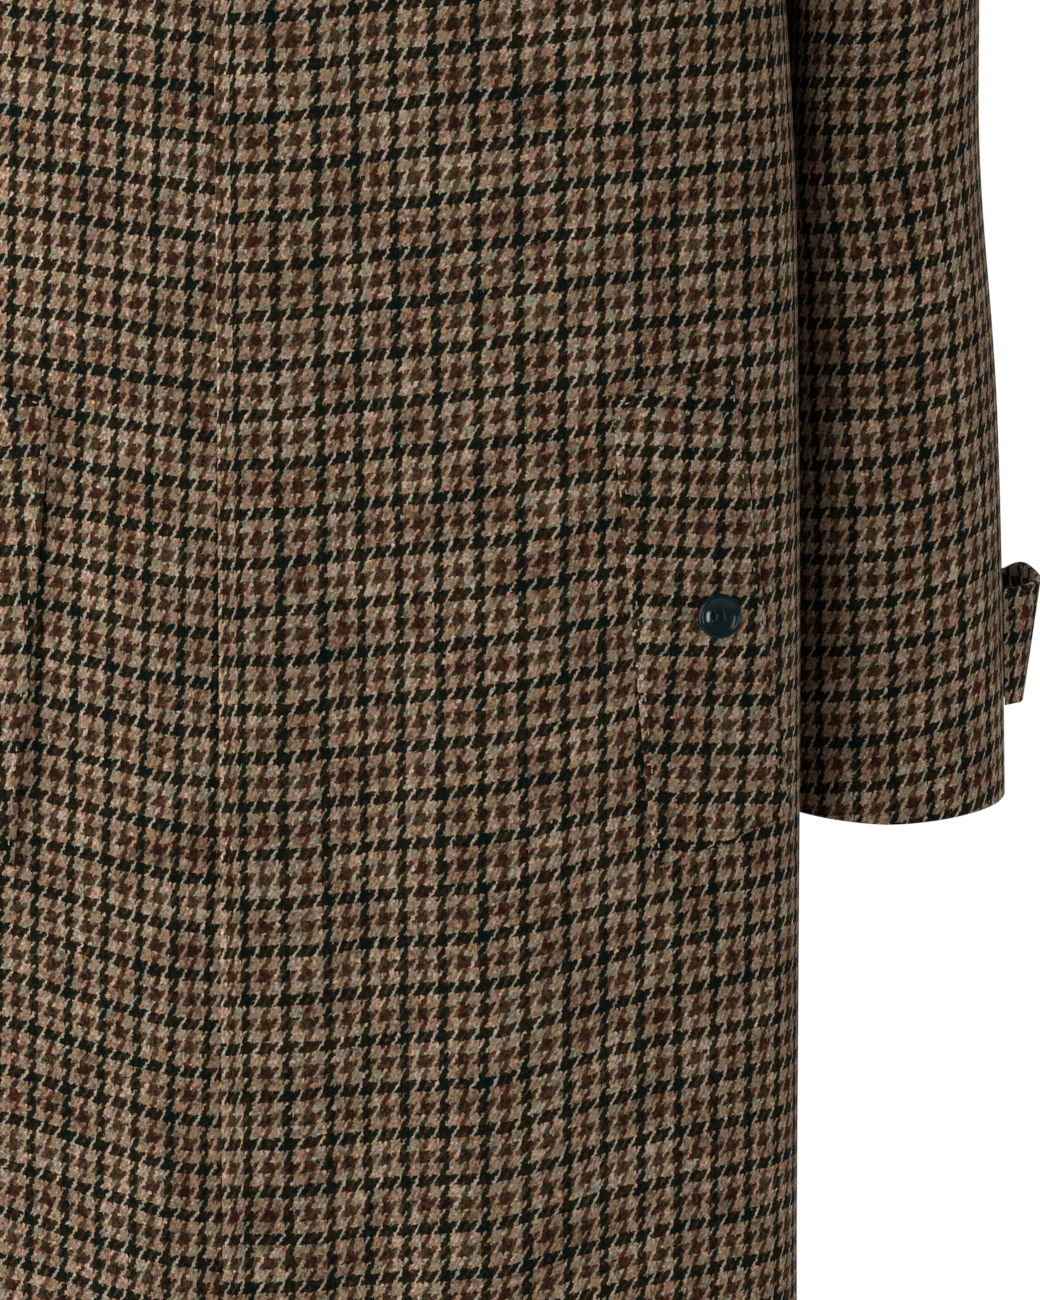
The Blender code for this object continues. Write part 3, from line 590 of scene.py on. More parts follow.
# %% Drawing the edges back from their seams
def drawn_back(edge, inside):
    """An edge moved half a seam gap into its panel, square to the edge."""
    tangent = unit(np.gradient(edge, axis=0))
    inward = inside - edge
    inward = inward - tangent * np.sum(inward * tangent, axis=1, keepdims=True)
    return edge + unit(inward) * SEAM_GAP / 2


for panel in (left, right, back, sleeve_front, sleeve_back):
    panel[:, -1] = drawn_back(panel[:, -1], panel[:, -2])
for panel in (back, sleeve_front, sleeve_back):
    panel[:, 0] = drawn_back(panel[:, 0], panel[:, 1])
for panel in (sleeve_front, sleeve_back):
    panel[0] = drawn_back(panel[0], panel[1])
print("seam gap:", SEAM_GAP * 1000, "mm")

# %% [markdown]
# ## The grain of each panel
# The check follows the threads of the cloth, so each panel needs its flat coordinates in metres:
# how far along the weft and how far up the warp a point lay before sewing. They are kept as a UV
# map named cloth. On the fronts the weft lifts towards the side seams, because the coat is flared
# and hangs from the shoulder, and the warp leans out a little on the way down.

# %% Flat coordinates of the body
GRAIN = rows_of(
    "across lift_at_chest lift_at_hip",
    (-0.060, 0.0000, 0.0000),
    (-0.015, 0.0022, 0.0005),
    (0.030, 0.0073, 0.0046),
    (0.0755, 0.0119, 0.0083),
    (0.112, 0.0166, 0.0165),
    (0.148, 0.0205, 0.0253),
    (0.180, 0.0230, 0.0300),
    (0.215, 0.0250, 0.0325),
    (0.300, 0.0270, 0.0340),
)
CHEST_Z = -0.45
HIP_Z = -0.85
LEFT_LEAN = 0.0090
RIGHT_LEAN = 0.0340
ABOVE_NECK = 0.10
CLOTH_ABOVE_NECK = 0.13


def flat_body(points, centre):
    """Weft and warp coordinates of a body panel before any lift or lean."""
    steps = np.diff(points, axis=1)
    across = np.zeros(points.shape[:2])
    across[:, 1:] = np.cumsum(np.hypot(steps[..., 0], steps[..., 1]), axis=1)
    across -= across[:, centre : centre + 1]
    line = points[:, centre]
    length = running_length(line)
    heights = np.append(line[:, 2], line[-1, 2] + ABOVE_NECK)
    length = np.append(length, length[-1] + CLOTH_ABOVE_NECK) + BODY[0].z
    return across, np.interp(points[:, :, 2], heights, length)


# easing is the length of cloth that lies between the centre line and a point across the front;
# near its edge the left front rolls under, so more cloth lies there
LEFT_EASING = (
    (-0.0600, -0.0560),
    (-0.0508, -0.0460),
    (-0.0472, -0.0416),
    (-0.0413, -0.0330),
    (-0.0228, -0.0154),
    (-0.0034, 0.0022),
    (0.0137, 0.0198),
    (0.0308, 0.0374),
    (0.0489, 0.0550),
    (0.0674, 0.0726),
    (0.0863, 0.0902),
    (0.1057, 0.1078),
    (0.1840, 0.1895),
    (0.3000, 0.3120),
)
RIGHT_EASING = (
    (-0.060, -0.0535),
    (0.000, 0.0065),
    (0.050, 0.0565),
    (0.150, 0.1665),
    (0.300, 0.3215),
)
# where the rows of the check start on each panel is the cutter's choice
LEFT_ROW_START = -0.0030
RIGHT_ROW_START = -0.0055
ROW_STRETCH = 0.009
RIGHT_MORE_LIFT = 1.2


def lifted(across, up, easing, lean, more_lift, row_start):
    """Cloth coordinates once the weft lifts towards the side and the warp leans out."""
    eased = np.interp(across, *np.array(easing).T)
    rows = np.array(GRAIN)
    chest, hip = (np.interp(across, rows[:, 0], rows[:, column]) for column in (1, 2))
    share = smooth(-CHEST_Z, -HIP_Z, -up)
    lift = more_lift * (chest * (1 - share) + hip * share)
    below = CHEST_Z - up
    return np.stack([eased - lean * below, up - ROW_STRETCH * below - lift + row_start], -1)


left_across, left_up = flat_body(left, LAP_COLUMNS)
right_across, right_up = flat_body(right, LAP_COLUMNS)
back_across, back_height = flat_body(back, BACK_COLUMNS)
left_grain = lifted(left_across, left_up, LEFT_EASING, LEFT_LEAN, 1.0, LEFT_ROW_START)
right_grain = lifted(
    right_across,
    right_up,
    RIGHT_EASING,
    RIGHT_LEAN,
    RIGHT_MORE_LIFT,
    RIGHT_ROW_START,
)
back_lift = lifted(np.abs(back_across), back_height, RIGHT_EASING, 0.0, 1.0, 0.0)[..., 1]
back_grain = np.stack([-back_across, back_lift], -1)
print("half a front is", round(float(left_across.max()) * 1000), "mm wide at its widest")

# %% [markdown]
# A sleeve is cut with its warp down the arm, but it hangs a little turned, so its weft rises towards
# the overarm and its warp leans. Near the cuff the cloth is drawn up, which brings the rows closer.

# %% Flat coordinates of the sleeves
SLEEVE_GRAIN = rows_of(
    "across lift",
    (0.000, 0.0135),
    (0.020, 0.0112),
    (0.040, 0.0082),
    (0.060, 0.0050),
    (0.085, 0.0020),
    (0.115, -0.0030),
    (0.140, -0.0075),
    (0.175, -0.0120),
    (0.250, -0.0150),
)


def flat_sleeve(points):
    """Weft and warp coordinates of a sleeve half, from the overarm seam and from the cuff."""
    lengths = np.linalg.norm(np.diff(points, axis=0), axis=2)
    up = np.zeros(points.shape[:2])
    up[:-1] = np.cumsum(lengths[::-1], axis=0)[::-1]
    down = unit(np.gradient(points, axis=0))
    steps = np.diff(points, axis=1)
    down = 0.5 * (down[:, 1:] + down[:, :-1])
    steps = steps - down * np.sum(steps * down, axis=2, keepdims=True)
    across = np.zeros(points.shape[:2])
    across[:, 1:] = np.cumsum(np.linalg.norm(steps, axis=2), axis=1)
    rows = np.array(SLEEVE_GRAIN)
    return across, up - np.interp(across, rows[:, 0], rows[:, 1])


SLEEVE_LEAN = 0.044
SLEEVE_ROW_SCALE = 0.983
LOWER_SLEEVE = 0.14
LOWER_ROW_SCALE = 0.030
SLEEVE_START = (-0.0160, 0.0075)


def sleeve_grain(points, way):
    """Cloth coordinates of a sleeve half; way is -1 for the front half and 1 for the back half."""
    across, up = flat_sleeve(points)
    rows = SLEEVE_ROW_SCALE * up + LOWER_ROW_SCALE * np.minimum(up - LOWER_SLEEVE, 0.0)
    return np.stack([SLEEVE_LEAN * up + way * across, rows], -1) + SLEEVE_START


sleeve_front_grain = sleeve_grain(sleeve_front, -1.0)
sleeve_back_grain = sleeve_grain(sleeve_back, 1.0)
cuff = running_length(sleeve_back[-1])[-1]
print("half a sleeve is", round(float(cuff) * 1000), "mm round at the cuff")

# %% [markdown]
# ## A shell of cloth
# A real edge of tweed is soft, not a sharp box corner. The shell is therefore built by hand from
# its outer face and its inner face: a guard row runs close to each edge, and the edge itself is
# drawn in from both faces, so that smooth shading rounds it.

# %% The shell builder
EDGE_GUARD = 0.0010
EDGE_ROUND = 0.30
GUARD_SHARE = 0.4


def guarded(field, rows_at, columns_at):
    """A grid read at fractions of its rows and columns."""
    row = np.clip(rows_at.astype(int), 0, field.shape[0] - 2)
    share = (rows_at - row)[:, None, None]
    field = field[row] * (1 - share) + field[row + 1] * share
    column = np.clip(columns_at.astype(int), 0, field.shape[1] - 2)
    share = (columns_at - column)[None, :, None]
    return field[:, column] * (1 - share) + field[:, column + 1] * share


def guard_places(count, spacing):
    """Row or column numbers with one more close to each end."""
    near = min(GUARD_SHARE, EDGE_GUARD / spacing)
    inner = np.arange(1, count - 1)
    return np.concatenate([[0.0, near], inner, [count - 1 - near, count - 1.0]])


def finished_object(name, points, faces, look):
    """A smooth named object with outward faces."""
    mesh = bpy.data.meshes.new(name)
    mesh.from_pydata(points, [], faces)
    work = bmesh.new()
    work.from_mesh(mesh)
    bmesh.ops.recalc_face_normals(work, faces=work.faces[:])
    work.to_mesh(mesh)
    work.free()
    mesh.polygons.foreach_set("use_smooth", np.ones(len(mesh.polygons), bool))
    mesh.materials.append(look)
    made = bpy.data.objects.new(name, mesh)
    bpy.context.scene.collection.objects.link(made)
    return made


def shell_faces(rows, columns):
    """The quads of an outer grid, an inner grid and the edge between them."""
    count = rows * columns
    number = np.arange(count).reshape(rows, columns)
    quads = np.stack([number[:-1, :-1], number[:-1, 1:], number[1:, 1:], number[1:, :-1]], -1)
    quads = quads.reshape(-1, 4)
    loop = np.concatenate([number[0], number[1:, -1], number[-1, -2::-1], number[-2:0:-1, 0]])
    after = np.roll(loop, -1)
    sides = np.stack([after, loop, loop + count, after + count], -1)
    return np.concatenate([quads, quads[:, ::-1] + count, sides])


def cloth_shell(name, outer, inner, grain, look):
    """A closed shell between two faces, with soft edges and its cloth coordinates."""
    row_step = np.linalg.norm(np.diff(outer, axis=0), axis=2).mean()
    column_step = np.linalg.norm(np.diff(outer, axis=1), axis=2).mean()
    rows_at = guard_places(outer.shape[0], row_step)
    columns_at = guard_places(outer.shape[1], column_step)
    outer, inner, grain = (guarded(field, rows_at, columns_at) for field in (outer, inner, grain))
    rim = np.zeros(outer.shape[:2] + (1,))
    rim[[0, -1]] = EDGE_ROUND
    rim[:, [0, -1]] = EDGE_ROUND
    outer, inner = outer + (inner - outer) * rim, inner + (outer - inner) * rim
    points = np.concatenate([outer.reshape(-1, 3), inner.reshape(-1, 3)])
    made = finished_object(name, points, shell_faces(*outer.shape[:2]).tolist(), look)
    corners = np.zeros(len(made.data.loops), int)
    made.data.loops.foreach_get("vertex_index", corners)
    flat = np.concatenate([grain.reshape(-1, 2)] * 2)
    made.data.uv_layers.new(name="cloth").data.foreach_set("uv", flat[corners].ravel())
    return made


print("edges are rounded over", EDGE_GUARD * 1000, "mm")

# %% [markdown]
# ## The yarns
# This tweed is a gun club check: bands of four dark blue-green threads, four tan, four brown and
# four tan again, the same in warp and weft, woven in a two-and-two twill. Every yarn is a blend: the
# brown has some wine red in it, the dark one teal and olive, and a fine tint puts pink and yellow
# flecks into all of them. The dark yarn is the fullest and swells over its neighbours, the brown one
# less so. Stops of a colour ramp give the fibres of each yarn, from the darkest to the palest.

# %% Yarn colours
WARP_PITCH = 0.00110
WEFT_PITCH = 0.00140
NAVY_SWELL = 0.37
BROWN_SWELL = 0.14
TAN_FIBRES = (
    (0.22, (0.100, 0.057, 0.035)),
    (0.36, (0.235, 0.142, 0.084)),
    (0.50, (0.188, 0.135, 0.086)),
    (0.64, (0.198, 0.150, 0.100)),
    (0.82, (0.350, 0.262, 0.188)),
)
NAVY_FIBRES = (
    (0.32, (0.0010, 0.0060, 0.0064)),
    (0.50, (0.0056, 0.0068, 0.0016)),
    (0.74, (0.0210, 0.0135, 0.0050)),
)
BROWN_FIBRES = (
    (0.28, (0.0160, 0.0082, 0.0040)),
    (0.42, (0.0620, 0.0140, 0.0082)),
    (0.56, (0.0360, 0.0214, 0.0096)),
    (0.74, (0.0780, 0.0490, 0.0240)),
)
# painted highlight: the pale colour that the raised tan strokes are mixed towards, not a yarn
STROKE_HIGHLIGHT = (0.285, 0.245, 0.190)
FIBRE_TINT = (1.25, 0.00, 0.95)
BAND_THREADS = 4.0
REPEAT_THREADS = 4 * BAND_THREADS
repeat = [round(1000 * REPEAT_THREADS * pitch, 1) for pitch in (WARP_PITCH, WEFT_PITCH)]
print("one repeat of the check in mm:", repeat)

# %% [markdown]
# The chart is drawn with shader nodes from the cloth coordinates, so no picture is needed and the
# threads stay sharp at any distance. A few helpers add one node each and give back its result, so
# that the weave below reads like plain sums.

# %% Small helpers for shader nodes
def calc(tree, kind, *values):
    """A maths node; values are numbers or sockets."""
    node = tree.nodes.new("ShaderNodeMath")
    node.operation = kind
    for socket, value in zip(node.inputs, values):
        if isinstance(value, (int, float)):
            socket.default_value = value
        else:
            tree.links.new(value, socket)
    return node.outputs[0]


def choose(tree, share, low, high):
    """low where share is 0, high where it is 1, for numbers."""
    gap = calc(tree, "SUBTRACT", high, low)
    return calc(tree, "MULTIPLY_ADD", gap, share, low)


def joined_vector(tree, x, y):
    """Two numbers as one vector."""
    node = tree.nodes.new("ShaderNodeCombineXYZ")
    tree.links.new(x, node.inputs[0])
    tree.links.new(y, node.inputs[1])
    return node.outputs[0]


def noise(tree, vector, scale, detail):
    """Soft noise, around one half, and its colour for two more independent values."""
    node = tree.nodes.new("ShaderNodeTexNoise")
    node.noise_dimensions = "2D"
    node.inputs["Scale"].default_value = scale
    node.inputs["Detail"].default_value = detail
    tree.links.new(vector, node.inputs["Vector"])
    return node


def fibre_ramp(tree, value, fibres):
    """A yarn's blend of fibres as a colour ramp."""
    node = tree.nodes.new("ShaderNodeValToRGB")
    stops = node.color_ramp.elements
    for place, colour in fibres[2:]:
        stops.new(place)
    for stop, (place, colour) in zip(stops, fibres):
        stop.position = place
        stop.color = (*colour, 1.0)
    tree.links.new(value, node.inputs[0])
    return node.outputs[0]


def mix_colour(tree, share, low, high):
    """A colour between two colours; the second may be a plain one."""
    node = tree.nodes.new("ShaderNodeMix")
    node.data_type = "RGBA"
    tree.links.new(share, node.inputs["Factor"])
    tree.links.new(low, node.inputs["A"])
    if isinstance(high, tuple):
        node.inputs["B"].default_value = (*high, 1.0)
    else:
        tree.links.new(high, node.inputs["B"])
    return node.outputs["Result"]


def falling(tree, value, start, end):
    """1 up to start, 0 from end on, an even S between."""
    node = tree.nodes.new("ShaderNodeMapRange")
    node.interpolation_type = "SMOOTHSTEP"
    node.inputs["From Min"].default_value = start
    node.inputs["From Max"].default_value = end
    node.inputs["To Min"].default_value = 1.0
    node.inputs["To Max"].default_value = 0.0
    tree.links.new(value, node.inputs["Value"])
    return node.outputs[0]


print("node helpers ready")

# %% [markdown]
# ## Weaving the tweed
# Each point first finds which warp thread and which weft thread it lies on. In a two-and-two twill
# the floats step sideways by one thread at each row, so together they make slanted ribs: a warp rib,
# a weft rib, and a dark furrow between them. The rib of a swelling yarn is wider, so a tan warp that
# climbs over a dark band is pressed into one thin pale stroke, the tooth of a houndstooth. Slow
# noise along a thread blends its fibres, and a soft waver keeps the lines from looking ruled.

# %% Threads and ribs
WAVER_SCALE = 55.0
WAVER_SHIFT = 0.0022
HAIR_SCALE = 640.0
HAIR_SHIFT = 0.0024
SIDE_POWER = 4.0
THREAD_STRIDE = 3.71
STREAKS_PER_THREAD = 0.42
STREAK_STRENGTH = 1.9


def thread_lines(tree, place):
    """Warp and weft positions counted in threads, with a soft waver and loose hairs."""
    waver = noise(tree, place, WAVER_SCALE, 2.0)
    hairs = noise(tree, place, HAIR_SCALE, 2.0)
    parts = []
    for source in (place, waver.outputs["Color"], hairs.outputs["Color"]):
        split = tree.nodes.new("ShaderNodeSeparateXYZ")
        tree.links.new(source, split.inputs[0])
        parts.append(split.outputs)
    lines = []
    for axis, pitch in ((0, WARP_PITCH), (1, WEFT_PITCH)):
        slow = calc(tree, "MULTIPLY_ADD", parts[1][axis], WAVER_SHIFT, parts[0][axis])
        quick = calc(tree, "MULTIPLY_ADD", parts[2][axis], HAIR_SHIFT, slow)
        lines.append(calc(tree, "DIVIDE", quick, pitch))
    return lines


def thread_side(tree, line):
    """0 along the middle of a thread, rising to 1 at its sides."""
    off = calc(tree, "MULTIPLY_ADD", calc(tree, "FRACT", line), 2.0, -1.0)
    return calc(tree, "POWER", calc(tree, "ABSOLUTE", off), SIDE_POWER)


def yarn(tree, thread, along, apart, drift):
    """A thread's colour at a place along it, 1 where it is tan, and how much it swells."""
    in_repeat = calc(tree, "FLOORED_MODULO", thread, REPEAT_THREADS)
    band = calc(tree, "FLOOR", calc(tree, "DIVIDE", in_repeat, BAND_THREADS))
    tan_band = calc(tree, "FLOORED_MODULO", band, 2.0)
    brown_band = calc(tree, "GREATER_THAN", band, 1.5)
    own = calc(tree, "ADD", calc(tree, "MULTIPLY", thread, THREAD_STRIDE), apart)
    at = joined_vector(tree, own, calc(tree, "MULTIPLY", along, STREAKS_PER_THREAD))
    streak = noise(tree, at, 1.0, 2.0).outputs[0]
    blend = calc(tree, "MULTIPLY_ADD", streak, STREAK_STRENGTH, drift)
    navy = fibre_ramp(tree, blend, NAVY_FIBRES)
    dark = mix_colour(tree, brown_band, navy, fibre_ramp(tree, blend, BROWN_FIBRES))
    colour = mix_colour(tree, tan_band, dark, fibre_ramp(tree, blend, TAN_FIBRES))
    dark_swell = calc(tree, "MULTIPLY_ADD", brown_band, BROWN_SWELL - NAVY_SWELL, NAVY_SWELL)
    swell = calc(tree, "MULTIPLY", dark_swell, calc(tree, "SUBTRACT", 1.0, tan_band))
    return colour, tan_band, swell


print("a streak is about", round(1 / STREAKS_PER_THREAD, 1), "threads long")

# %% [markdown]
# The light on the cloth is part of the weave too: the furrows between ribs and the sides of a thread
# lie deeper and look darker, dark yarns that cross swallow more light, and the pressed tan strokes
# get a painted highlight, paler and a little brighter. The finest noise is the curl of the wool,
# which shades the cloth and roughens it.

# %% The tweed
DRIFT = {"scale": 38.0, "strength": 0.9, "level": -0.90}
WARP_NOISE_AT = 57.3
WEFT_NOISE_AT = 11.9
RIB_PERIOD = 4.0
RIB_BEND = 0.25
RIB_START = 1.0
RIB_SOFT = 0.20
FURROW_REACH = 0.45
# how far the strokes are mixed towards their painted highlight colour
STROKE_HIGHLIGHT_SHARE = 0.4
CURL = {"scale": 860.0, "strength": 1.05, "level": 0.50}
FURROW_SHADE = -0.40
SIDE_SHADE = -0.30
# painted highlight: how much brighter the pressed tan strokes are made
STROKE_SHINE = 0.20
DARK_SHADE = -0.35
TINT_SCALE = 200.0
CURL_BUMP = 0.5
CURL_HEIGHT = 0.0005
WOOL_ROUGHNESS = 0.95
WOOL_SHINE = 0.05


def vector_sum(tree, kind, *values):
    """A vector maths node; values are sockets, vectors or a plain scale."""
    node = tree.nodes.new("ShaderNodeVectorMath")
    node.operation = kind
    places = [node.inputs[0], node.inputs["Scale"]] if kind == "SCALE" else node.inputs
    for socket, value in zip(places, values):
        if isinstance(value, (tuple, list)):
            socket.default_value = value
        else:
            tree.links.new(value, socket)
    return node.outputs[0]


def weave_tweed():
    """The tweed's finish, drawn thread by thread from the cloth coordinates."""
    look = bpy.data.materials.new("tweed")
    look.use_nodes = True
    tree = look.node_tree
    shader = tree.nodes["Principled BSDF"]
    flat = tree.nodes.new("ShaderNodeUVMap")
    flat.uv_map = "cloth"
    place = flat.outputs[0]
    u, v = thread_lines(tree, place)
    slow = noise(tree, place, DRIFT["scale"], 2.0).outputs[0]
    drift = calc(tree, "MULTIPLY_ADD", slow, DRIFT["strength"], DRIFT["level"])
    warp, warp_tan, warp_swell = yarn(tree, calc(tree, "FLOOR", u), v, WARP_NOISE_AT, drift)
    weft, weft_tan, weft_swell = yarn(tree, calc(tree, "FLOOR", v), u, WEFT_NOISE_AT, drift)
    # the ribs bend within each four rows, so that a stroke stands steeper than the twill line
    bent = calc(tree, "MULTIPLY_ADD", calc(tree, "FLOORED_MODULO", v, RIB_PERIOD), RIB_BEND, RIB_START)
    slant = calc(tree, "ADD", calc(tree, "SUBTRACT", u, v), bent)
    slant = calc(tree, "FLOORED_MODULO", slant, RIB_PERIOD)
    from_rib = calc(tree, "ABSOLUTE", calc(tree, "SUBTRACT", slant, RIB_PERIOD / 2))
    rib = calc(tree, "ADD", calc(tree, "SUBTRACT", warp_swell, weft_swell), 1.0)
    beyond = calc(tree, "SUBTRACT", from_rib, rib)
    warp_up = falling(tree, beyond, -RIB_SOFT, RIB_SOFT)
    furrow = falling(tree, calc(tree, "ABSOLUTE", beyond), 0.0, FURROW_REACH)
    side = choose(tree, warp_up, thread_side(tree, v), thread_side(tree, u))
    pressed = calc(tree, "MULTIPLY", warp_tan, calc(tree, "DIVIDE", weft_swell, NAVY_SWELL))
    stroke = calc(tree, "MULTIPLY", pressed, warp_up)
    top = mix_colour(tree, warp_up, weft, warp)
    # painted highlight: the pressed tan strokes are mixed towards a pale colour
    top = mix_colour(tree, calc(tree, "MULTIPLY", stroke, STROKE_HIGHLIGHT_SHARE), top, STROKE_HIGHLIGHT)
    warp_dark = calc(tree, "SUBTRACT", 1.0, warp_tan)
    both_dark = calc(tree, "MULTIPLY", warp_dark, calc(tree, "SUBTRACT", 1.0, weft_tan))
    curl = noise(tree, place, CURL["scale"], 3.0).outputs[0]
    lit = calc(tree, "MULTIPLY_ADD", curl, CURL["strength"], CURL["level"])
    # painted shade in the furrows, on thread sides and where dark yarns cross; painted highlight on
    # the strokes
    for part, change in (
        (furrow, FURROW_SHADE),
        (side, SIDE_SHADE),
        (stroke, STROKE_SHINE),
        (both_dark, DARK_SHADE),
    ):
        lit = calc(tree, "MULTIPLY", lit, calc(tree, "MULTIPLY_ADD", part, change, 1.0))
    fleck = noise(tree, place, TINT_SCALE, 3.0).outputs["Color"]
    even = [1.0 - 0.5 * share for share in FIBRE_TINT]
    tint = vector_sum(tree, "MULTIPLY_ADD", fleck, FIBRE_TINT, even)
    tinted = vector_sum(tree, "MULTIPLY", vector_sum(tree, "SCALE", top, lit), tint)
    tree.links.new(tinted, shader.inputs["Base Color"])
    bump = tree.nodes.new("ShaderNodeBump")
    bump.inputs["Strength"].default_value = CURL_BUMP
    bump.inputs["Distance"].default_value = CURL_HEIGHT
    tree.links.new(curl, bump.inputs["Height"])
    tree.links.new(bump.outputs[0], shader.inputs["Normal"])
    shader.inputs["Roughness"].default_value = WOOL_ROUGHNESS
    shader.inputs["Specular IOR Level"].default_value = WOOL_SHINE
    return look


tweed = weave_tweed()
print("tweed nodes:", len(tweed.node_tree.nodes))

# %% [markdown]
# ## Sewing the panels
# Now the panels become pieces. Each shell takes the place of its solid, rides on the coat, and
# prints the size of its flat cut, so that a later user knows how much cloth it takes.

# %% Making a piece of cloth
def flat_size(grid):
    """Greatest width, greatest length and area of a face laid flat, in metres."""
    rows = np.linalg.norm(np.diff(grid, axis=1), axis=2).sum(axis=1)
    columns = np.linalg.norm(np.diff(grid, axis=0), axis=2).sum(axis=0)
    one = np.cross(grid[1:, :-1] - grid[:-1, :-1], grid[:-1, 1:] - grid[:-1, :-1])
    two = np.cross(grid[:-1, 1:] - grid[1:, 1:], grid[1:, :-1] - grid[1:, 1:])
    area = 0.5 * (np.linalg.norm(one, axis=2).sum() + np.linalg.norm(two, axis=2).sum())
    return float(rows.max()), float(columns.max()), float(area)


def cloth_piece(node, outer, inner, grain):
    """A shell in place of a solid, in tweed, with the size of its flat cut printed."""
    made = cloth_shell(f"{node}_cloth", outer, inner, grain, tweed)
    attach(made, "root")
    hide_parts(node)
    width, length, area = flat_size(outer)
    area = min(area, width * length)
    print(node, "flat", round(width, 3), "by", round(length, 3), "m, area", round(area, 4), "m2")
    return made

print("a wall of cloth is", CLOTH * 1000, "mm thick")

# %% [markdown]
# The fronts and the back hang from the shoulders, where they are sewn to the sleeves. The inner
# face of each is the outer one moved in by the thickness of the cloth.

# %% Fronts and back
for hand, outer, out, grain in (
    ("left", left, left_out, left_grain),
    ("right", right, right_out, right_grain),
):
    flip = SIDES[hand]
    inner = (outer - out * CLOTH) * flip
    grain = grain * flip[:2]
    cloth_piece(f"front_{hand}", outer * flip, inner, grain)
inner = back - back_out * CLOTH
cloth_piece("back", back, inner, back_grain)

# %% [markdown]
# A sleeve is sewn from a front and a back half. The right sleeve is the left one mirrored, with its
# grain mirrored too, so that the check slants the other way as it does on a real pair.

# %% Sleeve halves
for face, outer, out, grain in (
    ("front", sleeve_front, sleeve_front_out, sleeve_front_grain),
    ("back", sleeve_back, sleeve_back_out, sleeve_back_grain),
):
    inner = outer - out * CLOTH
    for hand, flip in SIDES.items():
        turned = grain * flip[:2]
        cloth_piece(f"sleeve_{hand}_{face}", outer * flip, inner * flip, turned)

# %% [markdown]
# ## Pocket welts
# A welt is a narrow folded band over a slanted pocket. It is cut on the straight grain, so its
# check stands level while the front's check rises past it. It is made from the front's own points,
# moved out, so that it follows every fold below it.

# %% Reading a grid between its points
LAST_CELL = 1.001


def on_grid(field, row, column):
    """A grid's value at fractions of its rows and columns."""
    r = int(min(row, field.shape[0] - LAST_CELL))
    c = int(min(column, field.shape[1] - LAST_CELL))
    low = field[r, c] * (1 - column + c) + field[r, c + 1] * (column - c)
    high = field[r + 1, c] * (1 - column + c) + field[r + 1, c + 1] * (column - c)
    return low * (1 - row + r) + high * (row - r)


def front_place(points, x, z):
    """The row and column of a front seen at x and z from the front."""
    row = float(np.interp(z, points[: BODY_ROWS + 1, -1, 2], np.arange(BODY_ROWS + 1)))
    r = int(min(row, BODY_ROWS - 1))
    line = points[r] * (1 - row + r) + points[r + 1] * (row - r)
    return row, float(np.interp(x, line[:, 0], np.arange(len(line))))


print("pocket button lies on row and column", front_place(left, 0.173, -0.624))

# %% [markdown]
# Four corners give the welt's place on the front, seen from the front. Its points are read between
# them, and it stands off a little more towards the side seam, where the pocket opens.

# %% Welts
WELT_CORNERS = {
    "top_front": (0.1253, -0.526),
    "top_side": (0.1800, -0.510),
    "bottom_front": (0.1450, -0.739),
    "bottom_side": (0.2050, -0.718),
}
WELT_GAP = 0.0005
WELT_THICK = 0.0030
WELT_LIFT_AT_SIDE = 0.0010
WELT_GRAIN_TURN = 0.06
WELT_GRAIN_START = (0.0013, 0.0032)
WELT_ROWS = 54
WELT_COLUMNS = 16


def welt_faces(points, out, across, up):
    """The welt's outer face, inner face and cloth coordinates on the straight grain."""
    corners = {name: np.array(place) for name, place in WELT_CORNERS.items()}
    shape = (WELT_ROWS + 1, WELT_COLUMNS + 1)
    outer, inner, grain = np.zeros(shape + (3,)), np.zeros(shape + (3,)), np.zeros(shape + (2,))
    for r, down in enumerate(np.linspace(0.0, 1.0, WELT_ROWS + 1)):
        start = corners["top_front"] * (1 - down) + corners["bottom_front"] * down
        end = corners["top_side"] * (1 - down) + corners["bottom_side"] * down
        for c, share in enumerate(np.linspace(0.0, 1.0, WELT_COLUMNS + 1)):
            row, column = front_place(points, *(start * (1 - share) + end * share))
            place = on_grid(points, row, column)
            away = unit(on_grid(out, row, column))
            inner[r, c] = place + away * (WELT_GAP + WELT_LIFT_AT_SIDE * share)
            outer[r, c] = inner[r, c] + away * WELT_THICK
            weft, warp = on_grid(across, row, column), on_grid(up, row, column)
            grain[r, c] = (weft - WELT_GRAIN_TURN * warp, warp + WELT_GRAIN_TURN * weft)
    return outer, inner, grain + WELT_GRAIN_START


welts = {}
for hand, points, out, across, up in (
    ("left", left, left_out, left_across, left_up),
    ("right", right, right_out, right_across, right_up),
):
    outer, inner, grain = welt_faces(points, out, across, up)
    outer, inner, grain = outer * SIDES[hand], inner * SIDES[hand], grain * SIDES[hand][:2]
    cloth_piece(f"welt_{hand}", outer, inner, grain)
    welts[hand] = outer, inner

# %% [markdown]
# ## Sleeve straps
# A stiff band is caught in the overarm seam, stands off the cuff like a handle and is buttoned down
# at the back of the sleeve. It is read off the back half of the sleeve and lifted by a table of
# stand-offs, more at its top edge than at its bottom edge.

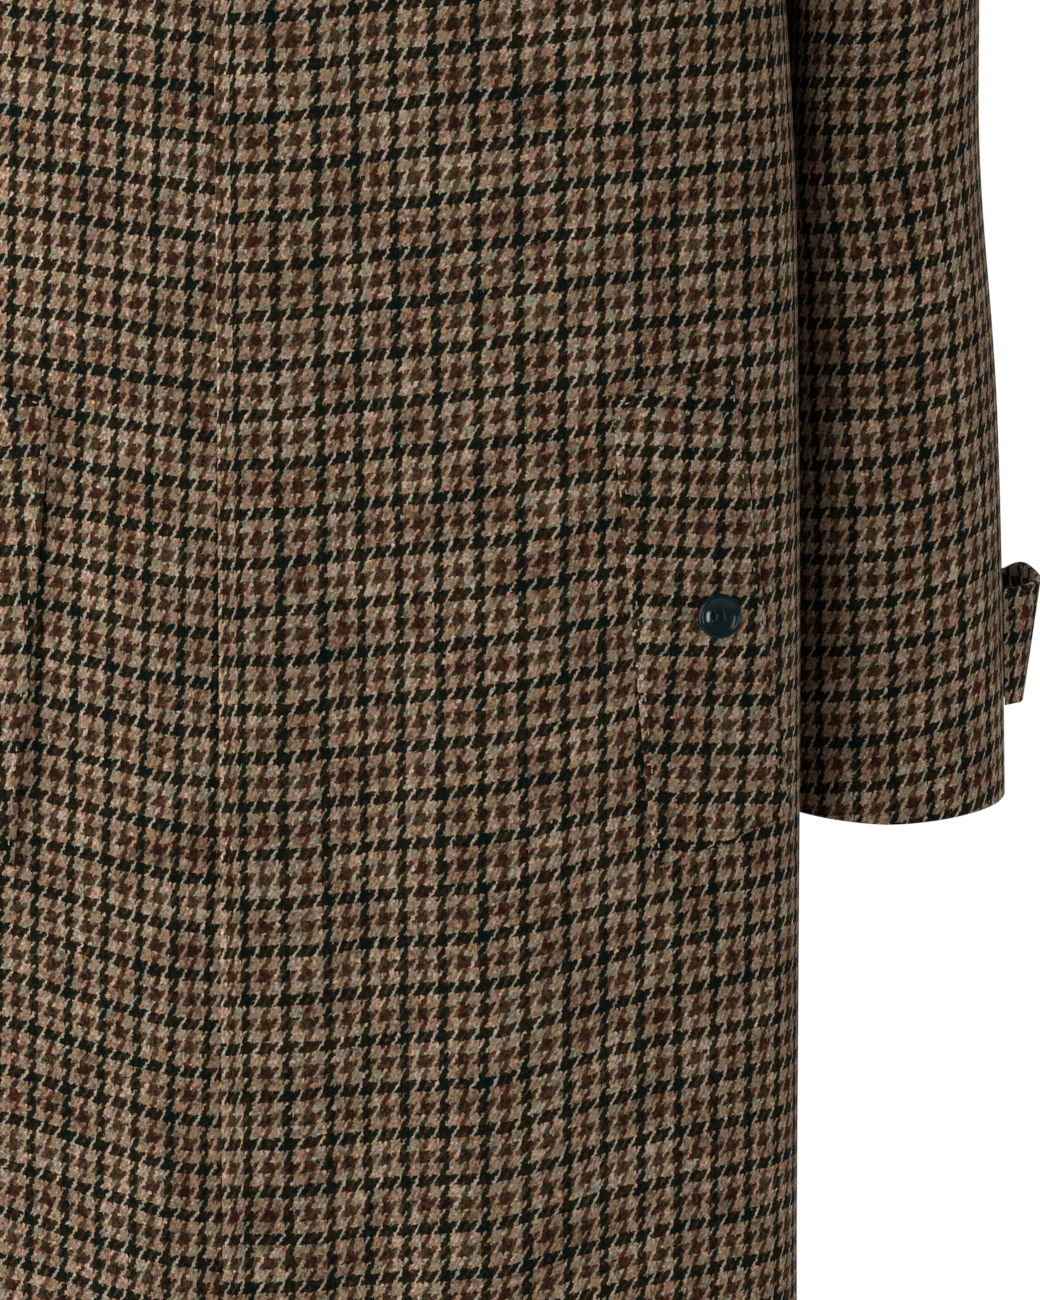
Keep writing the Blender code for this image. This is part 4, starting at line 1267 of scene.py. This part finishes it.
# %% Straps
STRAP_BOTTOM = -0.693
STRAP_TOP = -0.638
STRAP_REACH = 0.62
STRAP_SWEEP = 0.006
STRAP_ROWS = 16
STRAP_COLUMNS = 70
STRAP_GRAIN_START = (-0.0046, 0.0131)
POINT_FROM = 0.88
POINT_POWER = 1.5
STRAP = rows_of(
    "along stand_off_bottom stand_off_top drop rise thick",
    (0.00, 0.0003, 0.0003, 0.0014, 0.0000, 0.0012),
    (0.05, 0.0056, 0.0112, 0.0020, 0.0004, 0.0028),
    (0.11, 0.0090, 0.0190, 0.0032, 0.0016, 0.0030),
    (0.18, 0.0098, 0.0200, 0.0040, 0.0042, 0.0030),
    (0.26, 0.0092, 0.0184, 0.0038, 0.0060, 0.0030),
    (0.33, 0.0078, 0.0150, 0.0034, 0.0018, 0.0030),
    (0.42, 0.0056, 0.0098, 0.0024, 0.0000, 0.0030),
    (0.60, 0.0025, 0.0040, 0.0010, 0.0000, 0.0030),
    (0.80, 0.0008, 0.0010, 0.0000, 0.0000, 0.0030),
    (1.00, 0.0006, 0.0006, 0.0000, 0.0000, 0.0030),
)


def strap_face(depth):
    """A face of the strap, from the overarm seam round to the back; depth 0 is inside, 1 outside."""
    heights = sleeve_back[SHOULDER_RINGS:, 0, 2]
    around = around_shares("back")
    grid = np.zeros((STRAP_ROWS + 1, STRAP_COLUMNS + 1, 3))
    for r, up in enumerate(np.linspace(0.0, 1.0, STRAP_ROWS + 1)):
        for c, along in enumerate(np.linspace(0.0, 1.0, STRAP_COLUMNS + 1)):
            pointed = max(0.0, (along - POINT_FROM) / (1.0 - POINT_FROM)) ** POINT_POWER
            level = 0.5 + (up - 0.5) * (1.0 - 0.5 * pointed * abs(2 * up - 1))
            low, high, drop, rise, thick = read_table(STRAP, [along])[0]
            bottom = STRAP_BOTTOM - drop
            z = bottom + (STRAP_TOP + rise - bottom) * level + STRAP_SWEEP * along
            row = SHOULDER_RINGS + float(np.interp(-z, -heights, np.arange(len(heights))))
            column = float(np.interp(along * STRAP_REACH, around, np.arange(len(around))))
            away = unit(on_grid(sleeve_back_out, row, column))
            stand_off = low + (high - low) * up + depth * thick
            grid[r, c] = on_grid(sleeve_back, row, column) + away * stand_off
    return grid


strap_inner = strap_face(0.0)
strap_outer = strap_face(1.0)
steps = np.linalg.norm(np.diff(strap_outer, axis=1), axis=2)
strap_grain = np.zeros(strap_outer.shape[:2] + (2,))
strap_grain[:, 1:, 0] = np.cumsum(steps, axis=1)
strap_grain[:, :, 1] = strap_outer[:, :, 2]
strap_grain += STRAP_GRAIN_START
for hand, flip in SIDES.items():
    outer, inner, grain = strap_outer * flip, strap_inner * flip, strap_grain * flip[:2]
    cloth_piece(f"strap_{hand}", outer, inner, grain)

# %% [markdown]
# ## The collar
# A plain turn-down collar: it stands up from the neck edge, rolls over and falls back on the
# shoulders. Its section is drawn at each step of the neck line, and the fall leans out just enough
# to lie clear of the shoulders. It is drawn for one side and carried over to the other.

# %% Collar table
COLLAR = rows_of(
    "share stand fall spread lean",
    (0.00, 0.018, 0.078, 0.55, 22.0),
    (0.15, 0.022, 0.074, 0.34, 26.0),
    (0.27, 0.026, 0.070, 0.20, 26.8),
    (0.37, 0.028, 0.068, 0.11, 36.0),
    (0.50, 0.032, 0.065, 0.03, 40.8),
    (0.64, 0.034, 0.064, 0.00, 36.5),
    (0.80, 0.036, 0.066, 0.00, 28.0),
    (1.00, 0.037, 0.068, 0.00, 24.0),
)
COLLAR_THICK = 0.0030
COLLAR_GAP = 0.0009
COLLAR_ROLL = 0.0052
COLLAR_INSET = 0.0020
COLLAR_END_X = 0.004
COLLAR_STEPS = 72
FRONT_NECK_X = 0.012


def neck_line():
    """The neck edge on the +X side from the centre front to the centre back, evenly spaced."""
    first = right[-1, LAP_COLUMNS] + np.array([COLLAR_END_X, 0.0, 0.0])
    fronts = [p for p in right[-1] if p[0] > FRONT_NECK_X]
    shoulder = list(sleeve_front[0, :NECK_STEPS][::-1]) + list(sleeve_back[0, 1:NECK_STEPS])
    behind = list(back[-1, BACK_COLUMNS:][::-1])
    line = np.array([first, *fronts, *shoulder, *behind])
    length = running_length(line)
    shares = np.linspace(0.0, 1.0, COLLAR_STEPS + 1)
    return along_line(shares, length / length[-1], line), shares, length[-1]


line, shares, half_neck = neck_line()
print("neck line, one half:", round(float(half_neck) * 1000), "mm")

# %% [markdown]
# At each step of the neck line the section is a spine of points: straight up the stand, half round
# the roll and straight down the fall. Each point knows which way is inside, and the two faces lie
# half a thickness to either side of the spine.

# %% Collar faces
COLLAR_SMOOTHING = 6
NECK_CENTRE_Y = -0.005
STAND_POINTS = 8
ROLL_DEGREES = (30.0, 60.0, 90.0, 120.0, 150.0)
FALL_POINTS = 16
FALL_START = 0.06


def collar_faces():
    """Outer and inner face of half the collar: stand, roll and fall."""
    heading = np.gradient(line, axis=0)
    for _ in range(COLLAR_SMOOTHING):
        heading[1:-1] = (heading[:-2] + heading[1:-1] + heading[2:]) / 3.0
    out = unit(np.stack([-heading[:, 1], heading[:, 0], 0 * heading[:, 0]], 1))
    out *= np.sign(out[:, :1] * line[:, :1] + out[:, 1:2] * (line[:, 1:2] - NECK_CENTRE_Y))
    out[0] = (0.0, -1.0, 0.0)
    out[-1] = (0.0, 1.0, 0.0)
    start = line - out * COLLAR_INSET
    rise = np.array([0.0, 0.0, 1.0])
    outer, inner = [], []
    for place, away, ahead, size in zip(start, out, unit(heading), read_table(COLLAR, shares)):
        stand, fall, spread, lean = size
        lean = math.radians(lean)
        spine = []
        for share in np.linspace(0.0, 1.0, STAND_POINTS):
            spine.append((place + rise * (COLLAR_GAP + stand * share), away))
        centre = place + rise * (COLLAR_GAP + stand) + away * COLLAR_ROLL
        for angle in np.radians(ROLL_DEGREES):
            face = -away * math.cos(angle) + rise * math.sin(angle)
            spine.append((centre + face * COLLAR_ROLL, -face))
        drop = unit(away * math.sin(lean) - rise * math.cos(lean) + ahead * spread)
        outer_side = unit(away * math.cos(lean) + rise * math.sin(lean))
        for share in np.linspace(FALL_START, 1.0, FALL_POINTS):
            spine.append((centre + away * COLLAR_ROLL + drop * fall * share, -outer_side))
        outer.append([at - towards * COLLAR_THICK / 2 for at, towards in spine])
        inner.append([at + towards * COLLAR_THICK / 2 for at, towards in spine])
    return np.array(outer), np.array(inner)


collar_outer, collar_inner = collar_faces()
collar_outer = np.concatenate([mirrored(collar_outer[:-1]), collar_outer[::-1]])
collar_inner = np.concatenate([mirrored(collar_inner[:-1]), collar_inner[::-1]])
deep = np.linalg.norm(np.diff(collar_outer, axis=1), axis=2).mean(axis=0)
round_neck = np.linspace(-half_neck, half_neck, len(collar_outer))
collar_grain = np.zeros(collar_outer.shape[:2] + (2,))
collar_grain[:, :, 0] = round_neck[:, None]
collar_grain[:, 1:, 1] = -np.cumsum(deep)[None]
cloth_piece("collar", collar_outer, collar_inner, collar_grain)

# %% [markdown]
# ## Buttons
# The buttons are turned and polished, nearly black with a cast of blue-green. Each has a raised
# rim, a dished middle and four holes. A lathe would turn it, so it is a profile spun round an
# axis, and the holes are bored through with a boolean cut.

# %% Button finish and profile
BUTTON_RADIUS = 0.0103
BUTTON_GAP = 0.0004
BUTTON_SEGMENTS = 72
HOLE_RADIUS = 0.0010
HOLE_OFFSET = 0.0019
BUTTON_PROFILE = rows_of(
    "radius_share height",
    (0.78, 0.0000),
    (0.92, 0.0004),
    (0.985, 0.0011),
    (1.00, 0.0020),
    (0.985, 0.0028),
    (0.945, 0.0034),
    (0.89, 0.0037),
    (0.83, 0.0036),
    (0.77, 0.0032),
    (0.70, 0.0026),
    (0.60, 0.0023),
    (0.50, 0.0019),
    (0.40, 0.0016),
    (0.20, 0.0014),
)


def plain_look(name, colour, roughness, shine=0.5):
    """A finish of one colour."""
    look = bpy.data.materials.new(name)
    look.use_nodes = True
    shader = look.node_tree.nodes["Principled BSDF"]
    shader.inputs["Base Color"].default_value = (*colour, 1.0)
    shader.inputs["Roughness"].default_value = roughness
    shader.inputs["Specular IOR Level"].default_value = shine
    return look


polished = plain_look("polished_button", (0.0014, 0.0085, 0.0120), 0.16, shine=0.16)
print("button across:", round(BUTTON_RADIUS * 2000, 1), "mm")

# %% [markdown]
# A lathe spins the blank and a drill goes through it four times. Here the profile is repeated round
# an axis, and four rods, spun in the same way, are taken away from it.

# %% Turning a button
HOLE_SEGMENTS = 20
DRILL_BOTTOM = -0.002
DRILL_TOP = 0.006


def spun(profile, segments):
    """Points and faces of a profile spun round the Z axis, closed at both ends."""
    points = [(0.0, 0.0, profile[0][1])]
    for radius, height in profile:
        for step in range(segments):
            angle = 2 * math.pi * step / segments
            points.append((radius * math.cos(angle), radius * math.sin(angle), height))
    points.append((0.0, 0.0, profile[-1][1]))
    faces = []
    top = 1 + (len(profile) - 1) * segments
    for step in range(segments):
        after = (step + 1) % segments
        faces.append((0, 1 + after, 1 + step))
        for ring in range(len(profile) - 1):
            low = 1 + ring * segments
            faces.append((low + step, low + after, low + segments + after, low + segments + step))
        faces.append((top + step, top + after, len(points) - 1))
    return points, faces


def bored(made):
    """The four thread holes cut through a button."""
    points, faces = [], []
    for x in (-HOLE_OFFSET, HOLE_OFFSET):
        for y in (-HOLE_OFFSET, HOLE_OFFSET):
            rod = ((HOLE_RADIUS, DRILL_BOTTOM), (HOLE_RADIUS, DRILL_TOP))
            ring, round_faces = spun(rod, HOLE_SEGMENTS)
            start = len(points)
            points += [(px + x, py + y, pz) for px, py, pz in ring]
            faces += [tuple(start + corner for corner in face) for face in round_faces]
    drill = finished_object("drill", points, faces, polished)
    cut = made.modifiers.new("holes", "BOOLEAN")
    cut.operation = "DIFFERENCE"
    cut.solver = "EXACT"
    cut.object = drill
    ready = made.evaluated_get(bpy.context.evaluated_depsgraph_get())
    mesh = bpy.data.meshes.new_from_object(ready)
    made.modifiers.clear()
    made.data = mesh
    bpy.data.objects.remove(drill)
    return made


print("holes across:", HOLE_RADIUS * 2000, "mm")

# %% [markdown]
# The thread that holds a button is two short bars of dark thread across its holes. They lie in the
# dish and dive into the holes.

# %% Button thread
THREAD_RADIUS = 0.00042
THREAD_SIDES = 8
UPRIGHT = 0.9
BAR_POINTS = 9
BAR_FOOT = 0.0012
BAR_RISE = 0.0016
BAR_ARCH = 0.6
button_thread = plain_look("button_thread", (0.010, 0.012, 0.012), 0.8)


def thread_tube(points, faces, path, radius):
    """Adds a round thread along a path of points to lists of points and faces."""
    path = np.array(path)
    heading = unit(np.gradient(path, axis=0))
    start = len(points)
    sides = THREAD_SIDES
    for place, ahead in zip(path, heading):
        guide = np.array([1.0, 0.0, 0.0] if abs(ahead[2]) >= UPRIGHT else [0.0, 0.0, 1.0])
        right_hand = unit(np.cross(ahead, guide))
        lifted_hand = np.cross(right_hand, ahead)
        for step in range(sides):
            angle = 2 * math.pi * step / sides
            offset = math.cos(angle) * right_hand + math.sin(angle) * lifted_hand
            points.append(tuple(place + radius * offset))
    for ring in range(len(path) - 1):
        low = start + ring * sides
        for step in range(sides):
            after = (step + 1) % sides
            faces.append((low + step, low + after, low + sides + after, low + sides + step))
    faces.append(tuple(start + step for step in range(sides)))
    last = start + (len(path) - 1) * sides
    faces.append(tuple(last + step for step in reversed(range(sides))))


def button_bars(name):
    """Two bars of thread over the holes of a button that lies flat at the origin."""
    points, faces = [], []
    for x in (-HOLE_OFFSET, HOLE_OFFSET):
        path = []
        for turn in np.radians(np.linspace(180.0, 0.0, BAR_POINTS)):
            y = HOLE_OFFSET * math.cos(turn)
            path.append((x, y, BAR_FOOT + BAR_RISE * math.sin(turn) ** BAR_ARCH))
        thread_tube(points, faces, path, THREAD_RADIUS)
    return finished_object(name, points, faces, button_thread)

print("bars of thread stand", BAR_RISE * 1000, "mm over their feet")

# %% [markdown]
# Each button is made flat at the origin, then laid on the cloth: turned so that its axis follows the
# cloth's direction there, spun a little, as buttons end up when they are sewn by hand, and set down.

# %% Sewing the buttons on
def sew_button(node, place, away, turn):
    """A button and its thread, set on the cloth at a place and facing away from it."""
    profile = [(BUTTON_RADIUS * row.radius_share, row.height) for row in BUTTON_PROFILE]
    made = bored(finished_object(f"{node}_turned", *spun(profile, BUTTON_SEGMENTS), polished))
    bars = button_bars(f"{node}_thread")
    away = Vector(away).normalized()
    lie = Vector((0.0, 0.0, 1.0)).rotation_difference(away).to_matrix().to_4x4()
    lie = Matrix.Translation(Vector(place) + away * BUTTON_GAP) @ lie @ Matrix.Rotation(turn, 4, "Z")
    for piece in (made, bars):
        piece.data.transform(lie)
        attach(piece, "root")
    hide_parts(node)
    print(node, "sewn on,", len(made.data.polygons), "faces")


POCKET_BUTTON = (0.1730, -0.624)
POCKET_STAND_OFF = WELT_GAP + WELT_THICK + WELT_LIFT_AT_SIDE
STRAP_BUTTON_ALONG = 0.86
STRAP_BUTTON_GAP = 0.0002
for hand, points, out, turn in (("left", left, left_out, 0.35), ("right", right, right_out, 0.9)):
    row, column = front_place(points, *POCKET_BUTTON)
    away = unit(on_grid(out, row, column))
    place = on_grid(points, row, column) + away * POCKET_STAND_OFF
    sew_button(f"button_pocket_{hand}", place * SIDES[hand], away * SIDES[hand], turn)
row, column = STRAP_ROWS / 2, STRAP_BUTTON_ALONG * STRAP_COLUMNS
away = unit(on_grid(unit(strap_outer - strap_inner), row, column))
place = on_grid(strap_outer, row, column) + away * STRAP_BUTTON_GAP
for hand, turn in (("left", 0.2), ("right", 1.2)):
    sew_button(f"button_strap_{hand}", place * SIDES[hand], away * SIDES[hand], turn)

# %% [markdown]
# ## Stitches on the welts
# A tailor holds the edge of a welt flat with pick stitches: a tiny pale thread comes up, lies on
# the cloth for two millimetres and dives again. They stand in from the edge and are not quite even.

# %% Pick stitches
stitch_thread = plain_look("stitch_thread", (0.30, 0.25, 0.18), 0.9)
STITCH_RADIUS = 0.00030
STITCH_LENGTH = 0.0021
STITCH_SPACING = 0.0085
STITCH_INSET = 0.0028
STITCH_UNEVEN = 0.0012
STITCH_POINTS = 5
STITCH_ARCH = 2.4
STITCH_SINK = 1.2


def stitches(name, outer, inner, seed):
    """Pick stitches along the top and both long edges of a welt."""
    rng = np.random.default_rng(seed)
    out = unit(outer - inner)
    inset_rows = STITCH_INSET / np.linalg.norm(outer[-1, 0] - outer[0, 0]) * WELT_ROWS
    inset_columns = STITCH_INSET / np.linalg.norm(outer[0, -1] - outer[0, 0]) * WELT_COLUMNS
    low_row, low_column = WELT_ROWS - inset_rows, WELT_COLUMNS - inset_columns
    runs = (
        ((inset_rows, inset_columns), (inset_rows, low_column)),
        ((inset_rows, inset_columns), (low_row, inset_columns)),
        ((inset_rows, low_column), (low_row, low_column)),
    )
    points, faces = [], []
    for start, end in runs:
        start, end = np.array(start), np.array(end)
        length = np.linalg.norm(on_grid(outer, *end) - on_grid(outer, *start))
        for at in np.arange(STITCH_SPACING / 2, length - STITCH_LENGTH, STITCH_SPACING):
            at += rng.uniform(-STITCH_UNEVEN, STITCH_UNEVEN)
            path = []
            for share in np.linspace(0.0, 1.0, STITCH_POINTS):
                place = start + (end - start) * (at + STITCH_LENGTH * share) / length
                height = STITCH_RADIUS * (STITCH_ARCH * math.sin(math.pi * share) - STITCH_SINK)
                path.append(on_grid(outer, *place) + unit(on_grid(out, *place)) * height)
            thread_tube(points, faces, path, STITCH_RADIUS)
    made = finished_object(name, points, faces, stitch_thread)
    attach(made, "root")
    print(name, "faces:", len(faces))


for hand, seed in (("left", 3), ("right", 8)):
    stitches(f"welt_{hand}_stitches", *welts[hand], seed)

# %% [markdown]
# ## Floor, light and camera
# The coat hangs in its worn shape over a pale round floor, far enough below the hem to catch no hard
# shadow. It is part of the stage, not of the coat.

# %% Floor
FLOOR_Z = -1.50
FLOOR_THICK = 0.02
FLOOR_RADIUS = 1.7
FLOOR_SEGMENTS = 96
rim = ((FLOOR_RADIUS, FLOOR_Z - FLOOR_THICK), (FLOOR_RADIUS, FLOOR_Z))
points, faces = spun(rim, FLOOR_SEGMENTS)
floor = finished_object("floor", points, faces, plain_look("pale_floor", (0.86, 0.86, 0.85), 0.9))
floor.data.polygons.foreach_set("use_smooth", np.zeros(len(floor.data.polygons), bool))
print("floor at", FLOOR_Z, "m")

# %% [markdown]
# A white world closes the background. It lights the coat less than it shows, so that the lamps still
# draw the folds: a tall soft one in front, a little to the left, and one close by on the left, whose
# grazing light makes the left side brighter and leaves the sleeve in the body's shadow. A small one
# lifts the sleeve's outer side, and two from behind light the back.

# %% Light
WORLD_SHOWN = 1.0
WORLD_LIGHT = 0.28
WHITE = (1.0, 1.0, 1.0, 1.0)
world = bpy.data.worlds.new("studio")
bpy.context.scene.world = world
world.use_nodes = True
tree = world.node_tree
tree.nodes.clear()
ray = tree.nodes.new("ShaderNodeLightPath")
pick = tree.nodes.new("ShaderNodeMixShader")
ends = tree.nodes.new("ShaderNodeOutputWorld")
tree.links.new(ray.outputs["Is Camera Ray"], pick.inputs[0])
for strength, socket in ((WORLD_LIGHT, pick.inputs[1]), (WORLD_SHOWN, pick.inputs[2])):
    sky = tree.nodes.new("ShaderNodeBackground")
    sky.inputs["Strength"].default_value = strength
    sky.inputs["Color"].default_value = WHITE
    tree.links.new(sky.outputs[0], socket)
tree.links.new(pick.outputs[0], ends.inputs["Surface"])


def soft_lamp(name, place, aim, width, height, watts):
    """A rectangular soft lamp turned to a point."""
    data = bpy.data.lights.new(name, "AREA")
    data.shape = "RECTANGLE"
    data.size = width
    data.size_y = height
    data.energy = watts
    lamp = bpy.data.objects.new(name, data)
    lamp.location = place
    lamp.visible_camera = False
    lamp.rotation_euler = (Vector(aim) - Vector(place)).to_track_quat("-Z", "Y").to_euler()
    bpy.context.scene.collection.objects.link(lamp)


soft_lamp("key_front", (-0.36, -1.88, -0.15), (0.08, 0.0, -0.60), 0.5, 1.5, 18.4)
soft_lamp("side_left", (-0.80, -0.35, -0.50), (0.00, -0.1, -0.62), 0.3, 1.2, 13.5)
soft_lamp("fill_right", (1.15, -0.50, -0.76), (0.28, 0.0, -0.60), 0.13, 0.40, 5.0)
soft_lamp("fill_behind", (1.9, 2.4, 1.1), (0.0, 0.0, -0.50), 1.6, 1.6, 50.0)
soft_lamp("behind_left", (-1.9, 2.2, 0.8), (0.0, 0.0, -0.50), 1.2, 1.6, 30.0)

# %% [markdown]
# The photograph was taken from the front, a little above the waist and from some way off, so the
# camera has a long lens and looks slightly down.

# %% Camera
CAMERA_DISTANCE = 3.0
CAMERA_HEIGHT = math.radians(9.0)
CAMERA_TARGET = Vector((0.0845, 0.0, -0.658))
FRAME_HEIGHT = 0.611
SENSOR = 36.0
camera_data = bpy.data.cameras.new("camera")
camera_data.sensor_width = SENSOR
camera_data.sensor_fit = "AUTO"
camera_data.lens = SENSOR * CAMERA_DISTANCE / FRAME_HEIGHT
camera_data.dof.use_dof = False
camera = bpy.data.objects.new("camera", camera_data)
towards_camera = Vector((0.0, -math.cos(CAMERA_HEIGHT), math.sin(CAMERA_HEIGHT)))
camera.location = CAMERA_TARGET + towards_camera * CAMERA_DISTANCE
camera.rotation_euler = (-towards_camera).to_track_quat("-Z", "Y").to_euler()
bpy.context.scene.collection.objects.link(camera)
bpy.context.scene.camera = camera
bpy.context.scene.view_settings.view_transform = "Standard"
print("lens:", round(camera_data.lens, 1), "mm")
